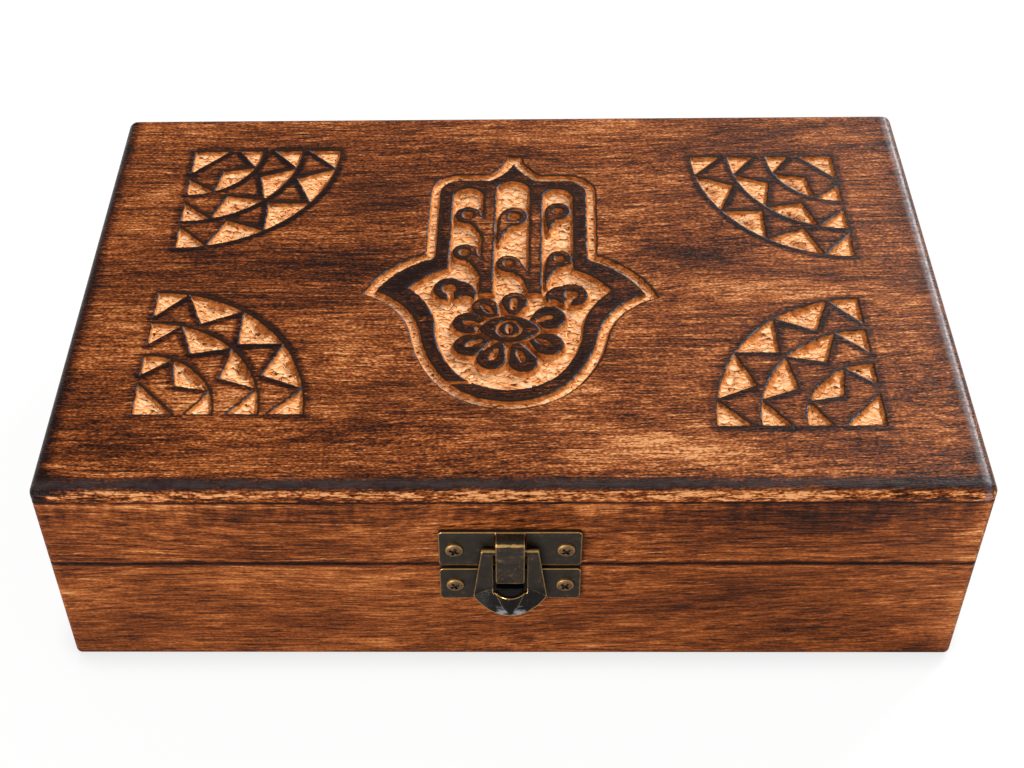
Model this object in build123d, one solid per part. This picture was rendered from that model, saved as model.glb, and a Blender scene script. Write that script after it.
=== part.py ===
from build123d import *

# Keepsake box for a rosary: a low hinged wooden box, 9 x 6 x 2 1/2 inches, with a thick lid
# board chip-carved with an open hand and four corner fans, and a pressed brass latch.
#
# Frame: millimetres, Z up, the origin at the centre of the underside.
# X runs along the box, the front with its latch faces -Y, the hinges are at the back, +Y.

import os
from math import atan2, cos, degrees, hypot, radians, sin

os.makedirs("parts", exist_ok=True)

# ---------------------------------------------------------------- driving dimensions, mm

# Wooden case
BOX_LENGTH = 228.6          # over the lid board, along X
BOX_DEPTH = 152.4           # over the lid board, along Y
BASE_HEIGHT = 37.0          # table to seam
LID_FRAME_HEIGHT = 22.5     # seam to the underside of the lid board
BOARD_THICKNESS = 4.0
BOARD_OVERHANG = 0.25       # lid board past the walls, all round
WALL = 8.0
PANEL_THICKNESS = 4.0       # bottom panel
RABBET = 4.0                # how far the bottom panel enters the walls
PANEL_GAP = 0.15            # between the bottom panel and its rabbet, each side
CORNER_RADIUS = 1.6         # upright corners of the walls, in plan
BOARD_CORNER_RADIUS = 2.6   # upright corners of the lid board, in plan
BOARD_EDGE_RADIUS = 2.5     # upper edge of the lid board
BOARD_UNDER_RADIUS = 0.5    # lower edge of the lid board
FOOT_RADIUS = 1.5           # lower edge of the base
SEAM_EASE = 0.4             # sanded edges where lid and base meet

# Carving on the lid board
CARVE_DEPTH = 1.6           # chip-carved pockets and the sunk ground of the hand
CUT_DEPTH = 1.0             # shallower cuts: the outline groove, petals and iris
CHIP_SLOPE = 20.0           # walls of the fan pockets lean this many degrees off upright
LAND = 0.5                  # wood left between two pockets that meet at a point

# Fans: one in each corner, laid out by eye, so no two are quite alike. For the corner's
# side in X and in Y: inset from the end edge, inset from the long edge, reach along X,
# reach along Y.
FANS = {
    (+1, -1): (22.7, 21.5, 41.1, 46.8),
    (-1, -1): (20.9, 26.0, 42.4, 45.8),
    (+1, +1): (20.6, 21.4, 40.8, 45.3),
    (-1, +1): (22.5, 17.1, 42.7, 44.5),
}
# A fan's rings from the outside in: outer edge and inner points, as shares of the reach.
# The inmost ring has one pocket of full width, and each ring has one more than the last.
FAN_RING_SHARES = ((1.00, 0.79), (0.735, 0.555), (0.465, 0.31))
FAN_CORNER_SHARE = 0.235    # the single pocket in the fan's corner

# Hand: an open palm with two thumbs, drawn about its own centre line.
HAND_TURN = -1.4            # degrees off square
HAND_PLACE = (0.5, 1.4)     # the drawing's own origin from the board's middle
GROOVE_WIDTH = 2.6
FINIAL_TOP = 54.2
FINIAL_HALF = 1.8
FINIAL_WAIST = (3.3, 49.8)
SHOULDER_IN = 7.5           # where the finial's curve meets the top of the fingers
SHOULDER_HEIGHT = 45.1
SHOULDER_RADIUS = 8.0
HAND_HALF = 23.25           # centre line to the outer edge beside the fingers
THUMB_ROOT = 9.3
THUMB_CROWN = (32.9, 2.6)
THUMB_TIP = (39.0, -7.7)
WRIST = (25.4, -24.0)
HEEL = (18.5, -40.65)       # where the side of the hand runs into the round of the heel
HAND_BOTTOM = -50.05

# Sunk ground inside the hand
FINGER_PITCH = 12.6         # middle finger to a side finger
SIDE_FINGER_HALF = 4.3
SIDE_FINGER_TOP = 39.1
MIDDLE_FINGER_HALF = 4.75
MIDDLE_FINGER_TOP = 42.6
FINGER_ROOT = -6.2          # lower end of the bars between the fingers
PALM_ROOT = 3.5             # where the palm's ground meets the side fingers
PALM_CROWN = (22.4, 0.3)
PALM_TIP = (27.0, -5.0)
PALM_HOLLOW = (22.0, -11.2)
PALM_WAIST = (19.4, -19.0)
PALM_HEEL = (14.5, -35.5)
PALM_BOTTOM = -43.4

# Eye and flower, standing in the palm
EYE_CENTRE = (0.1, -20.6)
EYE_HALF_LENGTH = 8.0
EYE_HALF_HEIGHT = 4.9
IRIS_RADIUS = 3.5
IRIS_CUT = 0.9              # width of the ring cut around the iris
PUPIL = (0.9, 1.9)          # half width and half height of the pupil's slit
MOAT = 0.9                  # ground between the eye and the petals
# Petals: direction in degrees, eye to the centre of the round end, radius of that end
PETALS = (
    (24, 11.3, 4.3),
    (84, 10.9, 3.4),
    (128, 10.8, 3.4),
    (169, 11.1, 3.9),
    (212, 12.3, 3.8),
    (249, 12.3, 3.7),
    (287, 12.9, 3.7),
    (331, 11.7, 3.9),
)
PETAL_ROOT = 7.2            # eye to the centre of a petal's narrow end
PETAL_ROOT_RADIUS = 1.5
PETAL_CUT = (2.5, 1.0)     # half length and half width of the cut in a petal

# Curls: centre of the head, its radius, the tip of the tail, how far the tail bows, and
# the width of the mouth that opens the head beside the tail
CURLS = (
    ((-12.4, 26.6), 3.6, (-7.6, 13.0), 1.2, 0.0),
    ((-12.8, 10.4), 3.3, (-7.4, -3.5), 1.0, 0.0),
    ((0.4, 26.2), 3.9, (-3.7, 14.5), -0.6, 0.0),
    ((-0.7, 5.7), 3.3, (4.3, -4.6), 1.4, 0.0),
    ((12.7, 28.9), 3.5, (10.2, 19.6), -0.4, 0.0),
    ((13.2, 7.9), 3.3, (9.4, -3.4), -0.6, 0.0),
    ((-16.2, -5.0), 4.3, (-9.6, -9.3), 2.2, 1.8),
    ((16.3, -6.8), 4.2, (9.9, -9.9), -2.2, 1.8),
)
CURL_EYELET = 0.44          # the hole in a curl's head, as a share of its radius
# Degrees from the tail's line, towards its bow: the tail's two edges where they leave the
# head, and the middle of the mouth
CURL_TAIL = (78.0, -12.0)
CURL_MOUTH = -48.0

# Where the knife slipped: a narrow cut from the palm into the groove, beside the heel
SLIP = ((-8.6, -40.2), (-17.2, -40.6), (-16.6, -41.8), (-9.2, -41.4))

# Latch, pressed from sheet brass. "Out" is measured from the front wall's face.
PLATE_LENGTH = 34.7
PLATE_THICKNESS = 1.2
PLATE_CORNER = 1.0
HASP_LOW = 0.95             # lower edge of the hasp plate above the seam
HASP_HEIGHT = 12.0
CATCH_HIGH = 0.65           # upper edge of the catch plate below the seam
CATCH_HEIGHT = 11.2
LATCH_SCREW_PITCH = 27.2
STRAP_WIDTH = 7.0
STRAP_THICKNESS = 0.8
STRAP_ROOT = 1.3            # band of plate above the window, from which the strap is bent
STRAP_STEP = 0.1            # upper edge of the plate to the strap's upper face
STRAP_FALL = 0.4            # how far the strap falls on its way out
STRAP_BEND = 1.2            # radius of the strap's bends, on its middle line
STRAP_OUT = 4.3             # middle line of the strap where it passes over the bar
STRAP_TAIL_OUT = 3.15       # middle line of the straight tail
STRAP_SLOPE_HIGH = 0.6      # the strap slopes back towards the box from here, above the bar,
STRAP_SLOPE_LOW = 3.4       # to here, below the bar
STRAP_TAIL_LENGTH = 7.6
STRAP_TAIL_CORNER = 0.8
WINDOW_GAP = 0.3            # between the strap and the slot it was cut from
BAR_RADIUS = 0.9            # rolled top of the lever, which turns behind the strap
BAR_OUT = 2.65
BAR_BELOW_EDGE = 5.4        # upper edge of the hasp plate to the bar
LEVER_TOP_HALF = 7.0
LEVER_LOW_HALF = 9.1
LEVER_SIDE = 16.4           # bar to where the straight sides end
LEVER_LENGTH = 19.9         # bar to the tip
LEVER_THICKNESS = 0.9
LEVER_CREASE = 12.6         # bar to the top of the curved crease
LIP_RADIUS = 21.8           # plan radius of the flared lip at the crease
LIP_GROWTH = 4.8            # growth of that radius
LIP_GROWTH_RUN = 10.0       # over this height
SLOT_HALF = 4.2
SLOT_END = 14.6             # bar to the slot's lower end
SPOON_RADIUS = 4.4          # spoon at the slot's end
SPOON_OUT = 1.1
SPOON_TIP_RADIUS = 2.1
SPOON_TIP_OUT = 4.5
SPOON_TIP_LOW = 0.5         # below the lever's tip
LEVER_SPARE = 2.0           # curved surfaces run on below the tip, to be cut to the outline
TAB_HALF = 3.4              # catch tab, just above the slot's lower end
TAB_OUT = 3.3
TAB_THICKNESS = 0.8
TAB_CORNER = 0.8
TAB_GAP = 0.4               # between the tab and the slot's lower end

# Fasteners
SCREW_HEAD_RADIUS = 2.1     # latch screws, pan heads
SCREW_HEAD_HEIGHT = 1.1
SCREW_HEAD_RIM = 0.6        # upright rim of the head, under its dome
SCREW_HEAD_DOME = (0.6, 0.93)  # a point of the dome, as shares of the radius and the height
SCREW_RADIUS = 1.0
SCREW_LENGTH = 6.0
SCREW_HOLE_GAP = 0.15       # between a screw and the hole in its plate
PILOT_GAP = 0.02            # between a screw and its pilot hole in the wood
PILOT_SPARE = 0.5           # pilot hole past the screw's end
CROSS_LENGTH = 2.5          # cross recess
CROSS_WIDTH = 0.75
CROSS_DEPTH = 0.6
# Degrees: no two screws stopped at the same turn. From left to right as one faces them.
HASP_TURNS = (68, 38)
CATCH_TURNS = (30, 51)
BASE_LEAF_TURNS = (12, 80, 41, 63)
LID_LEAF_TURNS = (55, 5, 74, 26)

# Butt hinges, on the back
HINGE_SPACING = 130.0       # between the middles of the two hinges
HINGE_LENGTH = 25.0
HINGE_REACH = 11.0          # seam to the far edge of a leaf
LEAF_THICKNESS = 0.9
LEAF_CORNER = 1.0
PIN_RADIUS = 0.8
KNUCKLES = 5                # odd: the base leaf has one more than the lid leaf
KNUCKLE_GAP = 0.15          # between neighbours, along the pin
PIN_CLEARANCE = 0.05        # lid knuckles on the pin
BARREL_GAP = 0.05           # barrel to the wood
LEAF_RELIEF = 0.3           # leaf cut back from the other leaf's knuckles
HINGE_SCREW_PITCH = 14.0
HINGE_SCREW_FROM_SEAM = 6.8
COUNTERSINK_RADIUS = 1.9
HINGE_SCREW_RADIUS = 0.9

# ---------------------------------------------------------------- derived places

BODY_LENGTH = BOX_LENGTH - 2 * BOARD_OVERHANG
BODY_DEPTH = BOX_DEPTH - 2 * BOARD_OVERHANG
SEAM = BASE_HEIGHT
BOARD_LOW = BASE_HEIGHT + LID_FRAME_HEIGHT
TOP = BOARD_LOW + BOARD_THICKNESS
FRONT_FACE = -BODY_DEPTH / 2
BACK_FACE = BODY_DEPTH / 2

# Drawing planes on the outside of the front and back walls: local X runs to the right
# as one faces the wall, local Y is the height, and local Z is the distance out from it.
FRONT = Plane(origin=(0, FRONT_FACE, 0), x_dir=(1, 0, 0), z_dir=(0, -1, 0)).location
BACK = Plane(origin=(0, BACK_FACE, 0), x_dir=(-1, 0, 0), z_dir=(0, 1, 0)).location


def save(solid, name):
    """Write one sub-part to its own STEP file."""
    solid.label = name
    export_step(solid, f"parts/{name}.step")


def block(x0, x1, y0, y1, z0, z1):
    """A box between two corners."""
    middle = ((x0 + x1) / 2, (y0 + y1) / 2, (z0 + z1) / 2)
    return Pos(*middle) * Box(x1 - x0, y1 - y0, z1 - z0)


# ---------------------------------------------------------------- wooden case


def wall_ring(low, height, low_radius, high_radius):
    """The four walls of the base or the lid in one piece, rounded on the outside."""
    plan = Pos(0, 0, low) * RectangleRounded(BODY_LENGTH, BODY_DEPTH, CORNER_RADIUS)
    ring = extrude(plan, amount=height)
    ring = fillet(ring.faces().sort_by(Axis.Z)[0].edges(), low_radius)
    if high_radius:
        ring = fillet(ring.faces().sort_by(Axis.Z)[-1].edges(), high_radius)
    room_x = BODY_LENGTH / 2 - WALL
    room_y = BODY_DEPTH / 2 - WALL
    return ring - block(-room_x, room_x, -room_y, room_y, low, low + height)


def split_walls(ring):
    """Butt joints: the front and back run the full length, the ends fit between them."""
    far = BOX_LENGTH
    joint = BODY_DEPTH / 2 - WALL
    return {
        "front": ring & block(-far, far, -far, -joint, -far, far),
        "back": ring & block(-far, far, joint, far, -far, far),
        "left": ring & block(-far, 0, -joint, joint, -far, far),
        "right": ring & block(0, far, -joint, joint, -far, far),
    }


def bottom_panel():
    """The floor of the box, let into a rabbet round the foot of the walls."""
    length = BODY_LENGTH - 2 * (WALL - RABBET + PANEL_GAP)
    depth = BODY_DEPTH - 2 * (WALL - RABBET + PANEL_GAP)
    return block(-length / 2, length / 2, -depth / 2, depth / 2, 0, PANEL_THICKNESS)


def rabbet_room():
    """What the walls lose to take the bottom panel."""
    x = BODY_LENGTH / 2 - WALL + RABBET
    y = BODY_DEPTH / 2 - WALL + RABBET
    return block(-x, x, -y, y, 0, PANEL_THICKNESS)


# ---------------------------------------------------------------- carving


def heel(side, bottom):
    """The round of the heel, centred on the centre line, from its bottom to one side.
    Gives the arc and the direction in which it arrives."""
    rise = side[1] - bottom
    radius = (side[0] ** 2 + rise**2) / (2 * rise)
    centre = bottom + radius
    turn = Vector(*side) - Vector(0, centre)
    middle = Vector(0, centre) + (turn + Vector(0, -radius)).normalized() * radius
    return ThreePointArc((0, bottom), middle, side), Vector(-turn.Y, turn.X)


def half_and_mirror(half):
    """Close a right-hand outline with its mirror image across the centre line."""
    edges = half.edges()
    return make_face(edges + mirror(half, about=Plane.YZ).edges())


def hand_outline():
    """Outer edge of the groove that draws the hand."""
    corner = (HAND_HALF - SHOULDER_RADIUS, SHOULDER_HEIGHT - SHOULDER_RADIUS)
    bend = SHOULDER_RADIUS * cos(radians(45))
    half = Line((0, FINIAL_TOP), (FINIAL_HALF, FINIAL_TOP))
    shoulder = (SHOULDER_IN, SHOULDER_HEIGHT)
    half += ThreePointArc((FINIAL_HALF, FINIAL_TOP), FINIAL_WAIST, shoulder)
    half += Line(shoulder, (corner[0], SHOULDER_HEIGHT))
    half += ThreePointArc(
        (corner[0], SHOULDER_HEIGHT),
        (corner[0] + bend, corner[1] + bend),
        (HAND_HALF, corner[1]),
    )
    half += Line((HAND_HALF, corner[1]), (HAND_HALF, THUMB_ROOT))
    half += ThreePointArc((HAND_HALF, THUMB_ROOT), THUMB_CROWN, THUMB_TIP)
    round_end, direction = heel(HEEL, HAND_BOTTOM)
    side = TangentArc(HEEL, WRIST, tangent=direction)
    half += round_end
    half += side
    half += TangentArc(WRIST, THUMB_TIP, tangent=side % 1)
    return half_and_mirror(half)


def finger_pocket(middle, half_width, top):
    """The sunk ground of one finger, with a round upper end."""
    low = FINGER_ROOT
    height = top - half_width - low
    shaft = Pos(middle, low + height / 2) * Rectangle(2 * half_width, height)
    return shaft + Pos(middle, top - half_width) * Circle(half_width)


def palm_ground():
    """The sunk ground of the palm, which opens into the fingers."""
    side = FINGER_PITCH + SIDE_FINGER_HALF
    half = Line((0, PALM_ROOT), (side, PALM_ROOT))
    half += ThreePointArc((side, PALM_ROOT), PALM_CROWN, PALM_TIP)
    half += ThreePointArc(PALM_TIP, PALM_HOLLOW, PALM_WAIST)
    round_end, direction = heel(PALM_HEEL, PALM_BOTTOM)
    half += round_end
    half += TangentArc(PALM_HEEL, PALM_WAIST, tangent=direction)
    ground = half_and_mirror(half)
    ground += finger_pocket(0, MIDDLE_FINGER_HALF, MIDDLE_FINGER_TOP)
    bar_in = MIDDLE_FINGER_HALF
    bar_out = FINGER_PITCH - SIDE_FINGER_HALF
    for side in (-1, 1):
        ground += finger_pocket(side * FINGER_PITCH, SIDE_FINGER_HALF, SIDE_FINGER_TOP)
        bar_middle = side * (bar_in + bar_out) / 2
        bar_height = PALM_ROOT - FINGER_ROOT
        bar = Rectangle(bar_out - bar_in, bar_height)
        ground -= Pos(bar_middle, FINGER_ROOT + bar_height / 2) * bar
    return ground


def eye():
    """The almond of the eye: two arcs that meet in points."""
    x, y = EYE_CENTRE
    left, right = (x - EYE_HALF_LENGTH, y), (x + EYE_HALF_LENGTH, y)
    upper = ThreePointArc(left, (x, y + EYE_HALF_HEIGHT), right)
    lower = ThreePointArc(right, (x, y - EYE_HALF_HEIGHT), left)
    return make_face(upper.edges() + lower.edges())


def petal(angle, reach, radius):
    """One petal, broad at its end and narrow towards the eye."""
    x, y = EYE_CENTRE
    across, up = cos(radians(angle)), sin(radians(angle))
    end = Pos(x + reach * across, y + reach * up) * Circle(radius)
    root = Pos(x + PETAL_ROOT * across, y + PETAL_ROOT * up) * Circle(PETAL_ROOT_RADIUS)
    return make_hull(end.edges() + root.edges())


def petal_cut(angle, reach):
    """The slender cut down the middle of a petal."""
    x, y = EYE_CENTRE
    middle = (reach + PETAL_ROOT) / 2 + PETAL_ROOT_RADIUS / 2
    place = Pos(x + middle * cos(radians(angle)), y + middle * sin(radians(angle)))
    return place * Rot(0, 0, angle) * Ellipse(*PETAL_CUT)


def curl(head, radius, tip, bow, mouth):
    """A comma: a ring for a head, and a tail that tapers to its tip. The tail leaves the
    head on the side to which it bows, and the mouth, if any, is on the other side."""
    run, rise = tip[0] - head[0], tip[1] - head[1]
    length = hypot(run, rise)
    line = degrees(atan2(rise, run))
    side = 1 if bow > 0 else -1

    def on_head(turn):
        direction = radians(line + side * turn)
        return head[0] + radius * cos(direction), head[1] + radius * sin(direction)

    def middle(point):
        own_bow = bow * hypot(point[0] - tip[0], point[1] - tip[1]) / length
        x = (point[0] + tip[0]) / 2 - own_bow * sin(radians(line))
        y = (point[1] + tip[1]) / 2 + own_bow * cos(radians(line))
        return x, y

    near, far = on_head(CURL_TAIL[0]), on_head(CURL_TAIL[1])
    edges = ThreePointArc(near, middle(near), tip).edges()
    edges += ThreePointArc(tip, middle(far), far).edges()
    edges += Line(far, near).edges()
    ring = Circle(radius) - Circle(radius * CURL_EYELET)
    if mouth:
        opening = Pos(radius, 0) * Rectangle(2 * radius, mouth)
        ring -= Rot(0, 0, line + side * CURL_MOUTH) * opening
    return Pos(*head) * ring + make_face(edges)


def on_hand(sketch):
    """Turn and shift a drawing of the hand onto the board."""
    return Pos(*HAND_PLACE, TOP) * Rot(0, 0, HAND_TURN) * sketch


def hand_cutters():
    """Everything that is cut away to leave the hand."""
    outer = hand_outline()
    groove = outer - offset(outer, -GROOVE_WIDTH)
    almond = eye()
    moat = offset(almond, MOAT)
    ground = palm_ground()
    for angle, reach, radius in PETALS:
        ground -= petal(angle, reach, radius) - moat
    for sizes in CURLS:
        ground -= curl(*sizes)
    ground -= almond
    iris = Pos(*EYE_CENTRE) * (Circle(IRIS_RADIUS) - Circle(IRIS_RADIUS - IRIS_CUT))
    fine = [groove, iris, Pos(*EYE_CENTRE) * Ellipse(*PUPIL)]
    fine += [petal_cut(angle, reach) for angle, reach, radius in PETALS]
    fine.append(make_face(Polyline(*SLIP, close=True).edges()))
    cutters = [extrude(on_hand(ground), amount=-CARVE_DEPTH)]
    cutters += [extrude(on_hand(shape), amount=-CUT_DEPTH) for shape in fine]
    return cutters


def fan_pockets(sides, inset_x, inset_y, reach_x, reach_y):
    """Chip-carved pockets of one fan: rings of points, and one pocket in the corner."""
    side_x, side_y = sides
    corner_x = side_x * (BOX_LENGTH / 2 - inset_x)
    corner_y = side_y * (BOX_DEPTH / 2 - inset_y)

    def spot(share, degrees):
        x = corner_x - side_x * reach_x * share * cos(radians(degrees))
        y = corner_y - side_y * reach_y * share * sin(radians(degrees))
        return x, y

    pockets = []
    for order, (outer, inner) in enumerate(FAN_RING_SHARES):
        full = len(FAN_RING_SHARES) - order
        pitch = 90.0 / (full + 1)
        land = degrees(LAND / 2 / (outer * reach_x))
        for step in range(full + 2):
            start = max(0.0, (step - 0.5) * pitch + land)
            end = min(90.0, (step + 0.5) * pitch - land)
            a, b = spot(outer, start), spot(outer, end)
            arc = ThreePointArc(a, spot(outer, (start + end) / 2), b)
            point = spot(inner, step * pitch)
            sides = Line(b, point).edges() + Line(point, a).edges()
            pockets.append(make_face(arc.edges() + sides))
    a, b = spot(FAN_CORNER_SHARE, 0), spot(FAN_CORNER_SHARE, 90)
    corner = (corner_x, corner_y)
    pockets.append(make_face(Polyline(a, b, corner, close=True).edges()))
    return pockets


def chip(pocket):
    """Cut one pocket with leaning walls."""
    face = Pos(0, 0, TOP) * pocket.face()
    if face.normal_at().Z < 0:
        face = -face
    return extrude(face, amount=-CARVE_DEPTH, taper=CHIP_SLOPE)


def lid_board():
    """The thick board that closes the lid, rounded over and carved."""
    plan = RectangleRounded(BOX_LENGTH, BOX_DEPTH, BOARD_CORNER_RADIUS)
    board = extrude(Pos(0, 0, BOARD_LOW) * plan, amount=BOARD_THICKNESS)
    board = fillet(board.faces().sort_by(Axis.Z)[-1].edges(), BOARD_EDGE_RADIUS)
    board = fillet(board.faces().sort_by(Axis.Z)[0].edges(), BOARD_UNDER_RADIUS)
    pockets = [pocket for sides, sizes in FANS.items() for pocket in fan_pockets(sides, *sizes)]
    chips = [chip(pocket) for pocket in pockets]
    return board - chips - hand_cutters()


# ---------------------------------------------------------------- screws


def cross_recess(depth):
    """A cross recess, cut down from the plane of the screw's head."""
    arm = Box(CROSS_LENGTH, CROSS_WIDTH, 2 * depth)
    return arm + Rot(0, 0, 90) * arm


def pan_screw():
    """A latch screw on its own axis, the underside of its head at zero."""
    crown = SCREW_HEAD_HEIGHT
    rim = (SCREW_HEAD_RADIUS, SCREW_HEAD_RIM)
    dome = (SCREW_HEAD_RADIUS * SCREW_HEAD_DOME[0], crown * SCREW_HEAD_DOME[1])
    profile = Polyline((0, crown), (0, -SCREW_LENGTH), (SCREW_RADIUS, -SCREW_LENGTH))
    profile += Polyline((SCREW_RADIUS, -SCREW_LENGTH), (SCREW_RADIUS, 0), (SCREW_HEAD_RADIUS, 0))
    profile += Line((SCREW_HEAD_RADIUS, 0), rim)
    profile += ThreePointArc(rim, dome, (0, crown))
    body = revolve(Plane.XZ * make_face(profile.edges()), Axis.Z)
    return body - Pos(0, 0, crown) * cross_recess(CROSS_DEPTH)


def countersunk_screw():
    """A hinge screw on its own axis, its flat head flush with zero."""
    sink = LEAF_THICKNESS
    profile = Polyline(
        (0, 0),
        (0, -SCREW_LENGTH),
        (HINGE_SCREW_RADIUS, -SCREW_LENGTH),
        (HINGE_SCREW_RADIUS, -sink),
        (COUNTERSINK_RADIUS, 0),
        close=True,
    )
    body = revolve(Plane.XZ * make_face(profile.edges()), Axis.Z)
    return body - cross_recess(CROSS_DEPTH)


def latch_screw_spots(height):
    """Where a latch plate's two screws go, in the front plane."""
    return [(side * LATCH_SCREW_PITCH / 2, height) for side in (-1, 1)]


def hinge_screw_spots(middle, side):
    """Where a leaf's two screws go in the back plane; side is -1 below the seam, 1 above."""
    height = SEAM + side * HINGE_SCREW_FROM_SEAM
    return [(middle + step * HINGE_SCREW_PITCH / 2, height) for step in (-1, 1)]


def at_spots(plane, spots, out, screw, turns):
    """One screw at each spot of a wall plane, each turned by its own angle, as one group."""
    placed = []
    for (x, y), turn in zip(spots, turns):
        placed.append(plane * Pos(x, y, out) * Rot(0, 0, turn) * screw)
    return Compound(children=placed)


def pilot_holes(plane, spots, radius, length):
    """Pilot holes into the wood under a plate."""
    hole = Cylinder(radius + PILOT_GAP, length, align=(Align.CENTER, Align.CENTER, Align.MAX))
    return [plane * Pos(x, y, 0) * hole for x, y in spots]


# ---------------------------------------------------------------- latch

HASP_TOP = SEAM + HASP_LOW + HASP_HEIGHT
HASP_MIDDLE = SEAM + HASP_LOW + HASP_HEIGHT / 2
CATCH_MIDDLE = SEAM - CATCH_HIGH - CATCH_HEIGHT / 2
BAR_HEIGHT = HASP_TOP - BAR_BELOW_EDGE
SLOT_LOW = BAR_HEIGHT - SLOT_END
FAR_OUT = 3 * SPOON_TIP_OUT


def front_slab(sketch, low_out, high_out):
    """A drawing in the front plane made solid between two distances from the wall."""
    return FRONT * Pos(0, 0, low_out) * extrude(sketch, amount=high_out - low_out)


def latch_plate(middle, height):
    """A plain latch plate with its two screw holes, as a flat drawing."""
    plate = Pos(0, middle) * RectangleRounded(PLATE_LENGTH, height, PLATE_CORNER)
    for x, y in latch_screw_spots(middle):
        plate -= Pos(x, y) * Circle(SCREW_RADIUS + SCREW_HOLE_GAP)
    return plate


def side_profile(points, bends, thickness, width):
    """A strip bent in the side view, given as (out, height), centred on the latch."""
    path = [(FRONT_FACE - out, height) for out, height in points]
    line = FilletPolyline(*path, radius=bends)
    band = Plane.YZ * trace(line.edges(), thickness)
    return extrude(band, amount=width / 2, both=True)


def hasp_plate():
    """The lid's plate, with the strap cut from it and bent out over the lever's bar."""
    window_half = STRAP_WIDTH / 2 + WINDOW_GAP
    window_top = HASP_TOP - STRAP_ROOT
    low = SEAM + HASP_LOW
    window = Pos(0, (low + window_top) / 2) * Rectangle(2 * window_half, window_top - low)
    plate = front_slab(latch_plate(HASP_MIDDLE, HASP_HEIGHT) - window, 0, PLATE_THICKNESS)
    root = HASP_TOP - STRAP_STEP - STRAP_THICKNESS / 2
    tail_top = BAR_HEIGHT - STRAP_SLOPE_LOW
    strap = side_profile(
        [
            (PLATE_THICKNESS / 2, root),
            (STRAP_OUT, root - STRAP_FALL),
            (STRAP_OUT, BAR_HEIGHT + STRAP_SLOPE_HIGH),
            (STRAP_TAIL_OUT, tail_top),
            (STRAP_TAIL_OUT, tail_top - STRAP_TAIL_LENGTH),
        ],
        STRAP_BEND,
        STRAP_THICKNESS,
        STRAP_WIDTH,
    )
    tail_end = strap.edges().filter_by(Axis.Y).group_by(Axis.Z)[0]
    return plate + fillet(tail_end, STRAP_TAIL_CORNER)


def catch_plate():
    """The base's plate, with a tab that the lever's slot drops over."""
    plate = front_slab(latch_plate(CATCH_MIDDLE, CATCH_HEIGHT), 0, PLATE_THICKNESS)
    low = SLOT_LOW + TAB_GAP
    strip = Pos(0, low + TAB_THICKNESS / 2) * Rectangle(2 * TAB_HALF, TAB_THICKNESS)
    tab = front_slab(strip, 0, TAB_OUT)
    ends = tab.edges().filter_by(Axis.Z).group_by(Axis.Y)[0]
    return plate + fillet(ends, TAB_CORNER)


def horizontal_disc(out, height, radius):
    """A horizontal circle centred on the latch, a given distance out from the wall."""
    return Pos(0, FRONT_FACE - out, height) * Circle(radius)


def lever_side(depth):
    """All that lies behind the lever's surface, moved back by depth: flat above the
    crease, a flaring cone below it, and the spoon at the end of the slot."""
    crease = BAR_HEIGHT - LEVER_CREASE
    tip = BAR_HEIGHT - LEVER_LENGTH
    low = tip - LEVER_SPARE
    face = BAR_OUT + LEVER_THICKNESS / 2
    wide = 2 * LEVER_LOW_HALF
    flat = block(-wide, wide, FRONT_FACE - face + depth, FRONT_FACE + wide, low, BAR_HEIGHT)
    lip_out = face - LIP_RADIUS
    lip_low = LIP_RADIUS + LIP_GROWTH * (crease - low) / LIP_GROWTH_RUN
    lip = loft(
        [
            horizontal_disc(lip_out, crease, LIP_RADIUS - depth),
            horizontal_disc(lip_out, low, lip_low - depth),
        ]
    )
    spoon = loft(
        [
            horizontal_disc(SPOON_OUT, SLOT_LOW, SPOON_RADIUS - depth),
            horizontal_disc(SPOON_TIP_OUT, tip - SPOON_TIP_LOW, SPOON_TIP_RADIUS - depth),
        ]
    )
    return flat + lip + spoon


def lever():
    """The lever: a rolled bar, two legs beside the slot, and a flared lip with a spoon."""
    side = BAR_HEIGHT - LEVER_SIDE
    outline = Polyline((-LEVER_LOW_HALF, side), (-LEVER_TOP_HALF, BAR_HEIGHT))
    outline += Line((-LEVER_TOP_HALF, BAR_HEIGHT), (LEVER_TOP_HALF, BAR_HEIGHT))
    outline += Line((LEVER_TOP_HALF, BAR_HEIGHT), (LEVER_LOW_HALF, side))
    outline += ThreePointArc(
        (LEVER_LOW_HALF, side), (0, BAR_HEIGHT - LEVER_LENGTH), (-LEVER_LOW_HALF, side)
    )
    slot = Pos(0, (SLOT_LOW + BAR_HEIGHT) / 2) * Rectangle(2 * SLOT_HALF, BAR_HEIGHT - SLOT_LOW)
    blank = front_slab(make_face(outline.edges()) - slot, 0, FAR_OUT)
    sheet = (blank & lever_side(0)) - lever_side(LEVER_THICKNESS)
    bar = Rot(0, 90, 0) * Cylinder(BAR_RADIUS, 2 * LEVER_TOP_HALF)
    return sheet + Pos(0, FRONT_FACE - BAR_OUT, BAR_HEIGHT) * bar


# ---------------------------------------------------------------- hinges

BARREL_RADIUS = PIN_RADIUS + LEAF_THICKNESS
AXIS_OUT = BARREL_RADIUS + BARREL_GAP
KNUCKLE_PITCH = HINGE_LENGTH / KNUCKLES


def knuckle_spans(first):
    """Left and right ends of every second knuckle, counted from the leaf's left end."""
    spans = []
    for step in range(first, KNUCKLES, 2):
        left = -HINGE_LENGTH / 2 + step * KNUCKLE_PITCH
        left_gap = KNUCKLE_GAP / 2 if step > 0 else 0
        right_gap = KNUCKLE_GAP / 2 if step < KNUCKLES - 1 else 0
        spans.append((left + left_gap, left + KNUCKLE_PITCH - right_gap))
    return spans


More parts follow.
